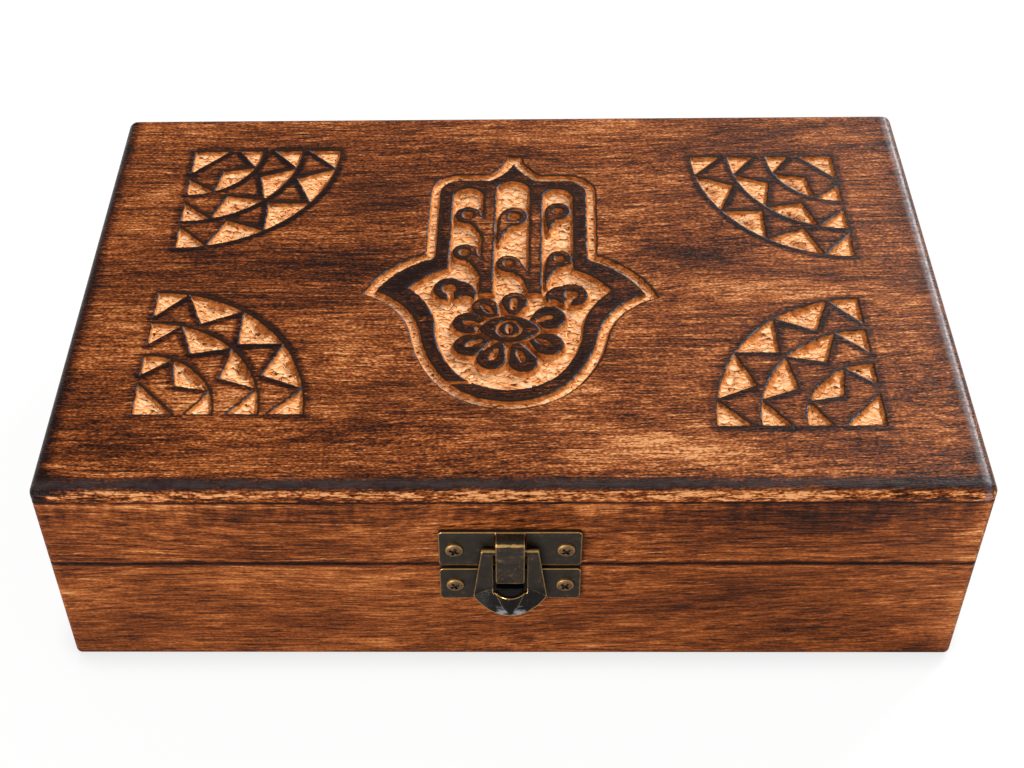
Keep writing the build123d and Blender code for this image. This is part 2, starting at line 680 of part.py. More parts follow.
def leaf(middle, side):
    """One leaf with its knuckles; side is -1 for the base's leaf, 1 for the lid's."""
    far = SEAM + side * HINGE_REACH
    outline = Pos(0, (SEAM + far) / 2) * Rectangle(HINGE_LENGTH, HINGE_REACH)
    corners = outline.vertices().sort_by(Axis.Y)
    outline = fillet(corners[:2] if side < 0 else corners[-2:], LEAF_CORNER)
    other = knuckle_spans(1 if side < 0 else 0)
    own = knuckle_spans(0 if side < 0 else 1)
    relief = BARREL_RADIUS + LEAF_RELIEF
    for left, right in other:
        cut = Rectangle(right - left + 2 * KNUCKLE_GAP, 2 * relief)
        outline -= Pos((left + right) / 2, SEAM) * cut
    plate = extrude(outline, amount=LEAF_THICKNESS)
    for x, y in hinge_screw_spots(0, side):
        sink = Cone(HINGE_SCREW_RADIUS, COUNTERSINK_RADIUS, LEAF_THICKNESS)
        plate -= Pos(x, y, LEAF_THICKNESS / 2) * sink
    bore = PIN_RADIUS if side < 0 else PIN_RADIUS + PIN_CLEARANCE
    for left, right in own:
        ring = Circle(BARREL_RADIUS) - Circle(bore)
        knuckle = Rot(0, 90, 0) * extrude(ring, amount=(right - left) / 2, both=True)
        plate += Pos((left + right) / 2, SEAM, AXIS_OUT) * knuckle
        hole = Rot(0, 90, 0) * Cylinder(bore, right - left)
        plate -= Pos((left + right) / 2, SEAM, AXIS_OUT) * hole
    return BACK * Pos(middle, 0, 0) * plate


def hinge_pin(middle):
    """A plain pin as long as the barrel, tight in the base leaf's knuckles."""
    pin = Rot(0, 90, 0) * Cylinder(PIN_RADIUS, HINGE_LENGTH)
    return BACK * Pos(middle, SEAM, AXIS_OUT) * pin


# ---------------------------------------------------------------- the pieces

# Left and right as one faces the front, so the left hinge is on the right in the back plane.
HINGES = {"left": HINGE_SPACING / 2, "right": -HINGE_SPACING / 2}

catch_spots = latch_screw_spots(CATCH_MIDDLE)
hasp_spots = latch_screw_spots(HASP_MIDDLE)
low_spots = [spot for middle in HINGES.values() for spot in hinge_screw_spots(middle, -1)]
high_spots = [spot for middle in HINGES.values() for spot in hinge_screw_spots(middle, 1)]

latch_depth = SCREW_LENGTH - PLATE_THICKNESS + PILOT_SPARE
hinge_depth = SCREW_LENGTH - LEAF_THICKNESS + PILOT_SPARE
base_holes = pilot_holes(FRONT, catch_spots, SCREW_RADIUS, latch_depth)
base_holes += pilot_holes(BACK, low_spots, HINGE_SCREW_RADIUS, hinge_depth)
lid_holes = pilot_holes(FRONT, hasp_spots, SCREW_RADIUS, latch_depth)
lid_holes += pilot_holes(BACK, high_spots, HINGE_SCREW_RADIUS, hinge_depth)

base_ring = wall_ring(0, BASE_HEIGHT, FOOT_RADIUS, SEAM_EASE) - rabbet_room() - base_holes
lid_ring = wall_ring(SEAM, LID_FRAME_HEIGHT, SEAM_EASE, 0) - lid_holes

for side, wall in split_walls(base_ring).items():
    save(wall, f"base_{side}_wall")
for side, wall in split_walls(lid_ring).items():
    save(wall, f"lid_{side}_wall")
save(bottom_panel(), "base_bottom_panel")
save(lid_board(), "lid_top_board")

save(catch_plate(), "latch_catch_plate")
save(hasp_plate(), "latch_hasp_plate")
save(lever(), "latch_lever")
save(at_spots(FRONT, catch_spots, PLATE_THICKNESS, pan_screw(), CATCH_TURNS), "latch_catch_screws")
save(at_spots(FRONT, hasp_spots, PLATE_THICKNESS, pan_screw(), HASP_TURNS), "latch_hasp_screws")

for side, middle in HINGES.items():
    save(leaf(middle, -1), f"hinge_{side}_base_leaf")
    save(leaf(middle, 1), f"hinge_{side}_lid_leaf")
    save(hinge_pin(middle), f"hinge_{side}_pin")
flat_screw = countersunk_screw()
save(at_spots(BACK, low_spots, LEAF_THICKNESS, flat_screw, BASE_LEAF_TURNS), "hinge_base_screws")
save(at_spots(BACK, high_spots, LEAF_THICKNESS, flat_screw, LID_LEAF_TURNS), "hinge_lid_screws")
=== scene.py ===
# %% [markdown]
# # A carved keepsake box and its finish
# The construction already exists: a low wooden box with a hinged lid, a pressed brass latch
# and two butt hinges, all at their real size. This lesson adds what the eye sees on the real
# one: the finish of the wood, the chisel work on the lid and the worn edges of the brass.
# Nothing here moves or resizes a piece. Everything is in metres, with the origin under the
# middle of the box, X along its length, the latch facing -Y and Z up.

from math import pi, radians

import bmesh
import bpy
from mathutils import Matrix, Vector, noise
from mathutils.bvhtree import BVHTree
from mathutils.kdtree import KDTree


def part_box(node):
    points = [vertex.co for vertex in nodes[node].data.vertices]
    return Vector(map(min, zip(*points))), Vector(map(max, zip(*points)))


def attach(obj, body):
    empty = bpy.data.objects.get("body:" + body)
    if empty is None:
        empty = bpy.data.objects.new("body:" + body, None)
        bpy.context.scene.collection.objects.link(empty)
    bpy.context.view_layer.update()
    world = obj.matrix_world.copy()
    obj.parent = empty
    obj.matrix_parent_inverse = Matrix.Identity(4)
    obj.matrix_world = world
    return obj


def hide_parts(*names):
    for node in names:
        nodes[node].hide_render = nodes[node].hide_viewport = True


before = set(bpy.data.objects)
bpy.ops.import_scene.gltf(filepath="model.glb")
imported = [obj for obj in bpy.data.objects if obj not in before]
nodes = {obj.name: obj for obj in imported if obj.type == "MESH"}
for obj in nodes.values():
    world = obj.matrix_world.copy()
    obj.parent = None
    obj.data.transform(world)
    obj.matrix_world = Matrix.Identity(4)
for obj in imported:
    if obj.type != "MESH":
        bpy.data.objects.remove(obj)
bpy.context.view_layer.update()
MM = 0.001

# %% [markdown]
# ## Camera
# The box is seen from in front and well above, so that both the carving and the latch show.
# A wide lens close by would make the far edge of the lid look much shorter than the near
# one, so the lens is a longish one. A small shift slides the frame over the box without
# turning the camera, which would change how the edges run together.

# %% Place the camera
CAMERA_PLACE = (-1.07 * MM, -332.91 * MM, 346.80 * MM)
CAMERA_DOWN = 44.44         # degrees below the horizon
CAMERA_LEFT = 1.95          # degrees turned away from straight ahead
CAMERA_ROLL = -1.55
LENS = 57.26                # mm, on a sensor 36 mm wide
SHIFT = (0.0453, 0.0119)    # the frame's middle from the lens's axis, in frame widths

camera_data = bpy.data.cameras.new("camera")
camera_data.lens = LENS
camera_data.sensor_width = 36.0
camera_data.shift_x, camera_data.shift_y = SHIFT
camera = bpy.data.objects.new("camera", camera_data)
bpy.context.scene.collection.objects.link(camera)
aim = Matrix.Rotation(radians(CAMERA_LEFT), 4, "Z") @ Matrix.Rotation(radians(90 - CAMERA_DOWN), 4, "X")
roll = Matrix.Rotation(radians(CAMERA_ROLL), 4, "Z")
camera.matrix_world = Matrix.Translation(CAMERA_PLACE) @ aim @ roll
bpy.context.scene.camera = camera
print("camera:", round(Vector(CAMERA_PLACE).length, 3), "m from the box's foot")

# %% [markdown]
# ## Helpers for materials
# Each finish is a small network of nodes. It could be drawn by hand in the node editor, but
# written out it can be read and repeated. A few helpers keep the networks short: they add a
# node, do arithmetic, and turn values into colours.

# %% Nodes and arithmetic
def add(tree, kind, sockets=None, **settings):
    """Add a shader node, set its options, and fill its sockets with values or links."""
    made = tree.nodes.new("ShaderNode" + kind)
    for name, value in settings.items():
        setattr(made, name, value)
    for socket, value in (sockets or {}).items():
        if isinstance(value, bpy.types.NodeSocket):
            tree.links.new(value, made.inputs[socket])
        else:
            made.inputs[socket].default_value = value
    return made


def maths(tree, operation, *values):
    """Arithmetic on one, two or three values."""
    return add(tree, "Math", dict(enumerate(values)), operation=operation).outputs[0]


def vectors(tree, operation, *values):
    """Arithmetic on vectors. A length or a dot product is a plain value."""
    made = add(tree, "VectorMath", dict(enumerate(values)), operation=operation)
    return made.outputs["Value" if operation in ("LENGTH", "DOT_PRODUCT") else "Vector"]


def part_of(tree, vector, axis):
    """The X, Y or Z of a vector."""
    return add(tree, "SeparateXYZ", {0: vector}).outputs["XYZ".index(axis)]


def plus(tree, first, second):
    return maths(tree, "ADD", first, second)


def minus(tree, first, second):
    return maths(tree, "SUBTRACT", first, second)


def times(tree, first, *others):
    for other in others:
        first = maths(tree, "MULTIPLY", first, other)
    return first


def add_share(tree, base, value, share):
    """A base, and a share of another value on top."""
    return maths(tree, "MULTIPLY_ADD", value, share, base)


def add_swing(tree, base, value, share, middle=0.5):
    """A base, and a share of how far another value swings from its middle."""
    return add_share(tree, plus(tree, base, -share * middle), value, share)


def positive(tree, value):
    return maths(tree, "MAXIMUM", value, 0.0)


def limits(tree, value, low, high, first=0.0, last=1.0):
    """A smooth step from first to last while a value goes from low to high."""
    sockets = {"Value": value, "From Min": low, "From Max": high, "To Min": first, "To Max": last}
    return add(tree, "MapRange", sockets, interpolation_type="SMOOTHSTEP").outputs[0]


# %% Colours and noise
def opaque(red, green, blue):
    return (red, green, blue, 1.0)


def blend(tree, share, first, second):
    """Mix two colours."""
    mixed = add(tree, "Mix", {0: share, 6: first, 7: second}, data_type="RGBA")
    return mixed.outputs[2]


def ramp(tree, value, stops):
    """A colour for each value: stops are (position, (red, green, blue))."""
    made = add(tree, "ValToRGB", {"Fac": value})
    elements = made.color_ramp.elements
    while len(elements) < len(stops):
        elements.new(0.5)
    for element, (position, colour) in zip(elements, stops):
        element.position = position
        element.color = opaque(*colour)
    return made.outputs["Color"]


def pattern(tree, place, size, detail=2.0, roughness=0.5, seed=0.0):
    """Noise whose features are about size millimetres long in X, Y and Z."""
    stretched = vectors(tree, "MULTIPLY", place, tuple(1.0 / length for length in size))
    sockets = {"Vector": stretched, "W": seed, "Scale": 1.0, "Detail": detail, "Roughness": roughness}
    return add(tree, "TexNoise", sockets, noise_dimensions="4D").outputs[0]


def flecks(tree, place, size, low, high, seed, detail=1.0):
    """Separate marks: 1 where the noise is above high, and 0 where it is below low."""
    return limits(tree, pattern(tree, place, size, detail, 0.5, seed), low, high)


# %% Start of a material
def start(name):
    """A new material: its tree and its Principled shader."""
    material = bpy.data.materials.new(name)
    material.use_nodes = True
    tree = material.node_tree
    return material, tree, tree.nodes["Principled BSDF"]


def millimetres(tree):
    """Object coordinates, in millimetres."""
    place = add(tree, "TexCoord").outputs["Object"]
    return add(tree, "VectorMath", {0: place, "Scale": 1.0 / MM}, operation="SCALE").outputs[0]


def bumped(tree, height, depth, normal=None):
    """A bump of the given depth in millimetres."""
    sockets = {"Height": height, "Strength": 1.0, "Distance": depth * MM}
    if normal:
        sockets["Normal"] = normal
    return add(tree, "Bump", sockets).outputs[0]


# %% [markdown]
# ## Wood
# The box is an open-grained hardwood that was scorched with a torch, brushed and waxed. So
# its colour has three scales: broad scorched patches, streaks along the grain, and fine
# fibres broken by short dark pores. A wave texture would give rings that are too even, so
# all of it is noise stretched along the grain. The noise fills space, so the end of a board
# shows pores as dots, as sawn wood does.

# %% Colours of the wood
WOOD_STOPS = (
    (0.00, (0.009, 0.002, 0.001)),
    (0.20, (0.042, 0.009, 0.002)),
    (0.40, (0.105, 0.023, 0.004)),
    (0.56, (0.197, 0.047, 0.008)),
    (0.72, (0.328, 0.091, 0.020)),
    (0.88, (0.500, 0.171, 0.048)),
    (1.00, (0.680, 0.316, 0.127)),
)
print("wood from", WOOD_STOPS[0][1], "to", WOOD_STOPS[-1][1])

# %% Grain of the wood
WANDER = 9.0                # mm that the grain strays from a straight line
SLANT = -0.045              # and its slope to the right of SLANT_FROM
SLANT_FROM = -30.0
MIDDLE_TONE = 0.55


def strayed(tree, place, seed):
    """Places moved across the grain, so that straight noise comes out as wandering grain."""
    wander = minus(tree, pattern(tree, place, (90, 34, 34), 1.0, seed=seed), 0.5)
    past = positive(tree, plus(tree, part_of(tree, place, "X"), -SLANT_FROM))
    drift = plus(tree, times(tree, wander, WANDER), times(tree, past, SLANT))
    drift = add(tree, "CombineXYZ", {"Y": drift, "Z": drift}).outputs[0]
    return vectors(tree, "ADD", place, drift)


def grain(tree, place, along, seed, brushed):
    """Tone of the wood from 0, dark, to 1, light, and a height for its open pores. Brushed
    is how broken up the fibres are."""
    if along == "Y":
        place = add(tree, "Mapping", {"Vector": place, "Rotation": (0, 0, pi / 2)}).outputs[0]
    place = strayed(tree, place, seed)
    patches = pattern(tree, place, (40, 12, 12), 3.0, 0.55, seed + 1)
    streaks = pattern(tree, place, (20, 1.2, 1.2), 3.0, 0.60, seed + 2)
    fibres = pattern(tree, place, (8.0, 0.46, 0.46), 3.0, 0.62, seed + 3)
    crumbs = pattern(tree, place, (0.9, 0.40, 0.40), 1.0, 0.5, seed + 6)
    pores = flecks(tree, place, (8.0, 0.42, 0.42), 0.565, 0.63, seed + 4, 2.0)
    lines = flecks(tree, place, (36, 0.55, 0.55), 0.60, 0.68, seed + 8)
    glints = flecks(tree, place, (3.0, 0.42, 0.42), 0.62, 0.70, seed + 5)
    tone = MIDDLE_TONE
    for layer, strength in ((patches, 1.0), (streaks, 1.0), (fibres, 1.3), (crumbs, 1.4 * brushed)):
        tone = add_swing(tree, tone, layer, strength)
    for marks, strength in ((pores, -0.26), (lines, -0.24), (glints, 0.14)):
        tone = add_share(tree, tone, marks, strength)
    height = add_share(tree, times(tree, fibres, 1.6), crumbs, 0.8 * brushed)
    return tone, add_share(tree, height, pores, -0.9)


# %% Marks of the torch
FAR = 1000.0                # a mark this long has no end in that direction


def spots(tree, place, marks):
    """Broad soft marks, darker or lighter: (centre, reach, strength) in millimetres."""
    total = 0.0
    for centre, reach, strength in marks:
        gap = vectors(tree, "SUBTRACT", place, centre)
        gap = vectors(tree, "MULTIPLY", gap, tuple(1.0 / length for length in reach))
        total = plus(tree, limits(tree, vectors(tree, "LENGTH", gap), 0.0, 1.0, strength, 0.0), total)
    return total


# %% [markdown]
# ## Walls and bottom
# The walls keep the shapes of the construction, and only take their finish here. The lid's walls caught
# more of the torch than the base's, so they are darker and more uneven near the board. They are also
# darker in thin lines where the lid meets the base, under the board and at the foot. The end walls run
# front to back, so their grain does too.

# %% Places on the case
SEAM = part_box("lid_front_wall")[0][2] / MM
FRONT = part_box("lid_front_wall")[0][1] / MM
WALL_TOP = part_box("lid_front_wall")[1][2] / MM
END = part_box("lid_front_wall")[1][0] / MM
print("seam at", round(SEAM, 2), "mm, front at", round(FRONT, 2), "mm, ends at", round(END, 2), "mm")

# %% Waxed wood
CHATTER_REACH = 15.0        # mm down from the lid's upper edge


def add_chatter(tree, tone, place, seed, strength):
    """Marks of the planer, which the scorching brought out near the lid's upper edge."""
    bars = minus(tree, pattern(tree, place, (2.6, 3.0, 8.0), 2.0, 0.6, seed), 0.55)
    height = part_of(tree, place, "Z")
    high = limits(tree, height, WALL_TOP - CHATTER_REACH, WALL_TOP, 0.0, strength)
    return add_share(tree, tone, bars, high)


def case_wood(name, along, middle, contrast, marks, seed, chatter=0.0):
    """Waxed wood for the walls of the case. Chatter is how strongly the planer's marks show."""
    material, tree, shader = start(name)
    place = millimetres(tree)
    tone, height = grain(tree, place, along, seed, 0.5)
    tone = add_swing(tree, middle, tone, contrast)
    tone = plus(tree, tone, spots(tree, place, marks))
    if chatter:
        tone = add_chatter(tree, tone, place, seed + 7, chatter)
    tree.links.new(ramp(tree, tone, WOOD_STOPS), shader.inputs["Base Color"])
    tree.links.new(limits(tree, tone, 0.1, 0.9, 0.42, 0.60), shader.inputs["Roughness"])
    shader.inputs["Specular IOR Level"].default_value = 0.10
    tree.links.new(bumped(tree, height, 0.14), shader.inputs["Normal"])
    return material


# %% Marks on the walls
seam_lines = [((0, side * FRONT, SEAM), (FAR, 2.0, 1.2), -0.60) for side in (-1, 1)]
seam_lines_across = [((side * END, 0, SEAM), (2.0, FAR, 1.2), -0.60) for side in (-1, 1)]
top_line = ((0, 0, WALL_TOP), (FAR, FAR, 0.9), -0.50)
foot_line = ((0, 0, 0), (FAR, FAR, 2.2), -0.30)
lid_marks = seam_lines + [
    top_line,
    ((60, FRONT, WALL_TOP - 5), (55, 30, 14), -0.32),
    ((-45, FRONT, WALL_TOP - 4), (50, 30, 8), -0.12),
    ((18, FRONT, WALL_TOP - 4), (14, 20, 9), 0.16),
    ((-60, FRONT, WALL_TOP - 1.5), (110, 20, 1.3), 0.28),
    ((60, FRONT, WALL_TOP - 2.4), (70, 20, 1.3), 0.14),
    ((END, FRONT, SEAM + 8), (9, 20, 20), 0.22),
    ((-END, FRONT, SEAM + 8), (14, 20, 20), 0.06),
]
base_marks = seam_lines + [
    foot_line,
    ((70, FRONT, 20), (60, 30, 22), -0.08),
    ((-60, FRONT, 24), (70, 30, 16), 0.06),
    ((END, FRONT, 18), (8, 20, 24), 0.20),
]
print("marks on the lid's walls:", len(lid_marks), "on the base's:", len(base_marks))

# %% Finish of the case
def finish_node(name, material):
    """Give a piece of the construction its finish."""
    mesh = nodes[name].data
    mesh.materials.clear()
    mesh.materials.append(material)


lid_across = seam_lines_across + [top_line]
base_across = seam_lines_across + [foot_line]
finishes = {
    "lid_x": case_wood("lid_wood_lengthwise", "X", 0.50, 0.92, lid_marks, 3.0, 0.8),
    "lid_y": case_wood("lid_wood_across", "Y", 0.50, 0.92, lid_across, 7.0),
    "base_x": case_wood("base_wood_lengthwise", "X", 0.535, 0.78, base_marks, 11.0),
    "base_y": case_wood("base_wood_across", "Y", 0.54, 0.78, base_across, 15.0),
}
for part in ("lid", "base"):
    for side in ("front", "back"):
        finish_node(f"{part}_{side}_wall", finishes[f"{part}_x"])
    for side in ("left", "right"):
        finish_node(f"{part}_{side}_wall", finishes[f"{part}_y"])
finish_node("base_bottom_panel", finishes["base_x"])
print("finishes of the case:", ", ".join(finishes))

# %% [markdown]
# ## Reading the carving
# The solid lid board already has every cut in it, with upright walls and flat floors, so its
# edges say where the chisel went. The rims are the edges between the flat top and a wall.
# Reading them here keeps the carving in one place: if the board changes, this follows.

# %% Find the rims of the cuts
board_low, board_high = (Vector(corner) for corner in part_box("lid_top_board"))
TOP = board_high.z
BORDER = 4.0 * MM           # nothing is carved this close to the board's edge
LEVEL = 1e-6                # heights closer than this are the same


def on_top(face):
    return all(abs(vert.co.z - TOP) < LEVEL for vert in face.verts)


def near_border(point):
    return (
        min(point.x - board_low.x, board_high.x - point.x) < BORDER
        or min(point.y - board_low.y, board_high.y - point.y) < BORDER
    )


solid = bmesh.new()
solid.from_mesh(nodes["lid_top_board"].data)
bmesh.ops.remove_doubles(solid, verts=solid.verts, dist=1e-7)
rims = []                   # start, end and depth of each straight bit of rim
for edge in solid.edges:
    flat = [on_top(face) for face in edge.link_faces]
    if sorted(flat) == [False, True] and not near_border(edge.verts[0].co):
        wall = edge.link_faces[flat.index(False)]
        depth = TOP - min(vert.co.z for vert in wall.verts)
        rims.append((edge.verts[0].co.copy(), edge.verts[1].co.copy(), depth))
bmesh.ops.delete(solid, geom=[face for face in solid.faces if not on_top(face)], context="FACES")
solid.faces.index_update()
land = BVHTree.FromBMesh(solid)
print("rim edges:", len(rims), "depths:", sorted({round(depth / MM, 2) for _, _, depth in rims}))

# %% [markdown]
# What is left standing inside the hand was scorched again after it was carved, and is darker
# than the rest of the lid. It is found by its connections: an island is a part of the flat
# top that the cuts have parted from the main field.

# %% Islands that the cuts leave standing
def connected(faces):
    """Sort faces into groups that hang together by their edges."""
    left = set(faces)
    groups = []
    while left:
        group = []
        waiting = [left.pop()]
        while waiting:
            face = waiting.pop()
            group.append(face)
            for edge in face.edges:
                for other in edge.link_faces:
                    if other in left:
                        left.remove(other)
                        waiting.append(other)
        groups.append(group)
    return groups


fields = connected(solid.faces)
fields.sort(key=lambda group: -sum(face.calc_area() for face in group))
island_faces = {face.index for group in fields[1:] for face in group}
solid.free()
print("islands:", len(fields) - 1)

# %% [markdown]
# Everything below asks how far a spot is from the nearest cut, and on which side of its rim
# it lies. Measuring to every rim would be slow. A kd-tree of points along the rims finds the
# nearest one at once, and the exact distance is then measured to that bit of rim alone.

# %% Distance to the nearest rim
RIM_STEP = 0.2 * MM
rim_points = []
for number, (first, last, depth) in enumerate(rims):
    count = max(1, int((last - first).length / RIM_STEP))
    rim_points += [(first.lerp(last, (step + 0.5) / count), number) for step in range(count)]
rim_tree = KDTree(len(rim_points))
for index, (point, number) in enumerate(rim_points):
    rim_tree.insert(point, index)
rim_tree.balance()
print("points along the rims:", len(rim_points))


def nearest_rim(point):
    """Closest point on a rim, its distance, and the depth of the cut there."""
    _, index, _ = rim_tree.find((point.x, point.y, TOP))
    first, last, depth = rims[rim_points[index][1]]
    along = last - first
    share = (point - first).dot(along) / along.length_squared
    spot = first + along * min(1.0, max(0.0, share))
    return spot, ((point.x - spot.x) ** 2 + (point.y - spot.y) ** 2) ** 0.5, depth


def land_face(point):
    """The face of the flat top at this spot, or None inside a cut."""
    return land.ray_cast((point.x, point.y, TOP + MM), (0, 0, -1))[2]


def in_cut(point):
    return land_face(point) is None


# %% [markdown]
# ## The lid board
# The board could be displaced by an image, but then its rims would be blurred. Instead it is
# built up: a block with rounded edges, its top ruled into squares by cutting planes, and the
# squares near a cut divided again and again until they are finer than the chisel's marks.

# %% Block with rounded edges
CORNER = 2.6 * MM
UPPER_ROUND = 2.5 * MM
LOWER_ROUND = 0.5 * MM

board_size = board_high - board_low
board = bmesh.new()
bmesh.ops.create_cube(board, size=1.0)
bmesh.ops.scale(board, vec=board_size, verts=board.verts)
bmesh.ops.translate(board, vec=(board_low + board_high) / 2, verts=board.verts)


def rounded(made, edges, radius, segments):
    """Round some edges of a mesh over."""
    bmesh.ops.bevel(
        made, geom=edges, offset=radius, segments=segments, profile=0.5, affect="EDGES", material=-1
    )


def level_edges(made, height):
    return [edge for edge in made.edges if all(abs(v.co.z - height) < LEVEL for v in edge.verts)]


upright = [edge for edge in board.edges if abs(edge.verts[0].co.z - edge.verts[1].co.z) > MM]
rounded(board, upright, CORNER, 8)
rounded(board, level_edges(board, TOP), UPPER_ROUND, 8)
rounded(board, level_edges(board, board_low.z), LOWER_ROUND, 4)
print("rounded block:", len(board.faces), "faces")

# %% Rule it into squares
SQUARE = 2.5 * MM

for axis in (0, 1):
    normal = Vector((axis == 0, axis == 1, 0))
    count = round(board_size[axis] / SQUARE)
    for step in range(1, count):
        place = board_low + normal * board_size[axis] * step / count
        faces = [face for face in board.faces if face.normal.z > -0.5]
        geom = faces + list({edge for face in faces for edge in face.edges})
        geom += list({vert for face in faces for vert in face.verts})
        bmesh.ops.bisect_plane(board, geom=geom, dist=1e-7, plane_co=place, plane_no=normal)
print("ruled board:", len(board.faces), "faces")

# %% Divide the squares near the cuts
LEVELS = 3
CLOSE_INSIDE = 1.0 * MM     # the finest squares reach this far into a cut
CLOSE_OUTSIDE = 0.5 * MM    # and this far onto the land
MIDDLING = 2.5 * MM         # past this the land keeps its biggest squares
HALF_DIAGONAL = 0.7


def wanted(face, side):
    """Should this square of the top, with sides about this long, be divided?"""
    middle = face.calc_center_median()
    gap = nearest_rim(middle)[1] - HALF_DIAGONAL * side
    if gap > MIDDLING:
        return in_cut(middle) and side > SQUARE / 3
    if side > SQUARE / 1.5:
        return True
    inside = in_cut(middle)
    if side > SQUARE / 3:
        return inside or gap < CLOSE_OUTSIDE
    return gap < (CLOSE_INSIDE if inside else CLOSE_OUTSIDE)


for level in range(LEVELS):
    side = SQUARE / 2**level
    chosen = []
    for face in board.faces:
        if face.normal.z > 0.999 and not near_border(face.calc_center_median()):
            if max(edge.calc_length() for edge in face.edges) > 0.8 * side and wanted(face, side):
                chosen.append(face)
    edges = list({edge for face in chosen for edge in face.edges})
    bmesh.ops.subdivide_edges(board, edges=edges, cuts=1, use_grid_fill=True)
    print("level", level, "divided", len(chosen), "faces, now", len(board.faces))
FINE = SQUARE / 2**LEVELS

# %% [markdown]
# ## Cutting it
# The corners of the finest squares that lie close to a rim are moved onto it, which gives
# crisp edges. Then everything inside a rim is sunk: the walls lean as a chisel leaves them,
# the floor is broken into small tilted facets, and the land's edge is worn a little round.
# Each corner also remembers what happened to it, so that the finish can follow.

# %% What each corner remembers
remember = board.verts.layers.float
sink = remember.new("sink")             # 0 at the rim, 1 on the floor
rim_gap = remember.new("rim_gap")       # mm
far_side = remember.new("far_side")     # 1 at a cut's far rim, -1 at its near rim
left_side = remember.new("left_side")   # 1 at a cut's left rim, -1 at its right rim
island = remember.new("island")         # 1 on the islands
shallow = remember.new("shallow")       # 1 at the rims of the shallow cuts
REMEMBERED = 8.0            # mm: distances to a rim are kept up to this
print("remembered:", ", ".join(remember.keys()))

# %% Marks of the chisel
FACET = 2.3 * MM            # size of the chisel's facets on a floor
FACET_TILT = 0.10           # rise of a facet for each millimetre along it
RAGGED = 0.16 * MM          # how far a rim strays
SPLINTER = 0.40 * MM        # and how far where it broke out


def wobble(point, size, seed):
    """Smooth noise from -1 to 1, the same each time."""
    return noise.noise(Vector((point.x, point.y, 0)) / size + Vector((0, 0, seed)))


def facet_height(point):
    """Height of the tilted facets that a gouge leaves."""
    where = Vector((point.x / FACET, point.y / FACET * 1.3, 0.5))
    middle = noise.voronoi(where)[1][0]
    tilt = noise.cell_vector(middle * 7.3) - Vector((0.5, 0.5, 0.5))
    away = where - middle
    return (tilt.x * away.x + tilt.y * away.y) * 2 * FACET_TILT * FACET


def rim_stray(spot):
    """How far the rim strays outwards here: a little everywhere, more where it broke out."""
    stray = RAGGED * wobble(spot, 1.1 * MM, 3)
    return stray + SPLINTER * max(0.0, wobble(spot, 0.8 * MM, 9) - 0.25)


# %% Sink the cuts
LEAN = 0.48                 # run of a wall for each millimetre of its depth
LEAN_MORE = 0.60            # and more at the far and right rims of the fans' pockets
HAND_HALF = 44 * MM         # the hand lies within this of the middle line
WORN_WIDTH = 0.5 * MM
WORN_DEPTH = 0.14 * MM


def cut_share(point, gap, depth, inward):
    """How far down a wall a spot in a cut lies: 0 at the rim, 1 from the wall's foot on."""
    slope = LEAN
    if abs(point.x) > HAND_HALF:
        slope += LEAN_MORE * max(0.0, -inward.x, -0.7 * inward.y)
    run = depth * slope * (1.1 + 0.25 * wobble(point, 3 * MM, 5))
    return min(1.0, gap / run)


deepest = max(depth for _, _, depth in rims)
cut_count = 0
for vert in board.verts:
    vert[rim_gap] = REMEMBERED
    point = vert.co.copy()
    if abs(point.z - TOP) > LEVEL or near_border(point):
        continue
    spot, gap, depth = nearest_rim(point)
    vert[rim_gap] = min(REMEMBERED, gap / MM)
    if gap > REMEMBERED * MM:
        continue
    below = land_face(point)
    inward = (point - spot) if below is None else (spot - point)
    inward.normalize()
    vert[far_side] = -inward.y
    vert[left_side] = inward.x
    vert[island] = float(below in island_faces)
    vert[shallow] = float(depth < 0.8 * deepest)
    if gap < 0.5 * FINE:
        vert.co = spot - inward * rim_stray(spot)
        vert[rim_gap] = 0.0
    elif below is not None:
        vert.co.z -= WORN_DEPTH * max(0.0, 1 - gap / WORN_WIDTH) ** 2
    else:
        share = cut_share(point, gap, depth, inward)
        floor = depth - facet_height(point) * share
        vert.co.z -= floor * (1.35 * share - 0.35 * share**2)
        vert[sink] = share
        cut_count += 1
print("corners sunk:", cut_count)

# %% Make the board a piece
mesh = bpy.data.meshes.new("carved_lid_board")
board.to_mesh(mesh)
board.free()
mesh.polygons.foreach_set("use_smooth", [True] * len(mesh.polygons))
carved_board = bpy.data.objects.new("carved_lid_board", mesh)
bpy.context.scene.collection.objects.link(carved_board)
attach(carved_board, "lid")
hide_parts("lid_top_board")
print("carved board:", sum(len(face.vertices) - 2 for face in mesh.polygons), "triangles")
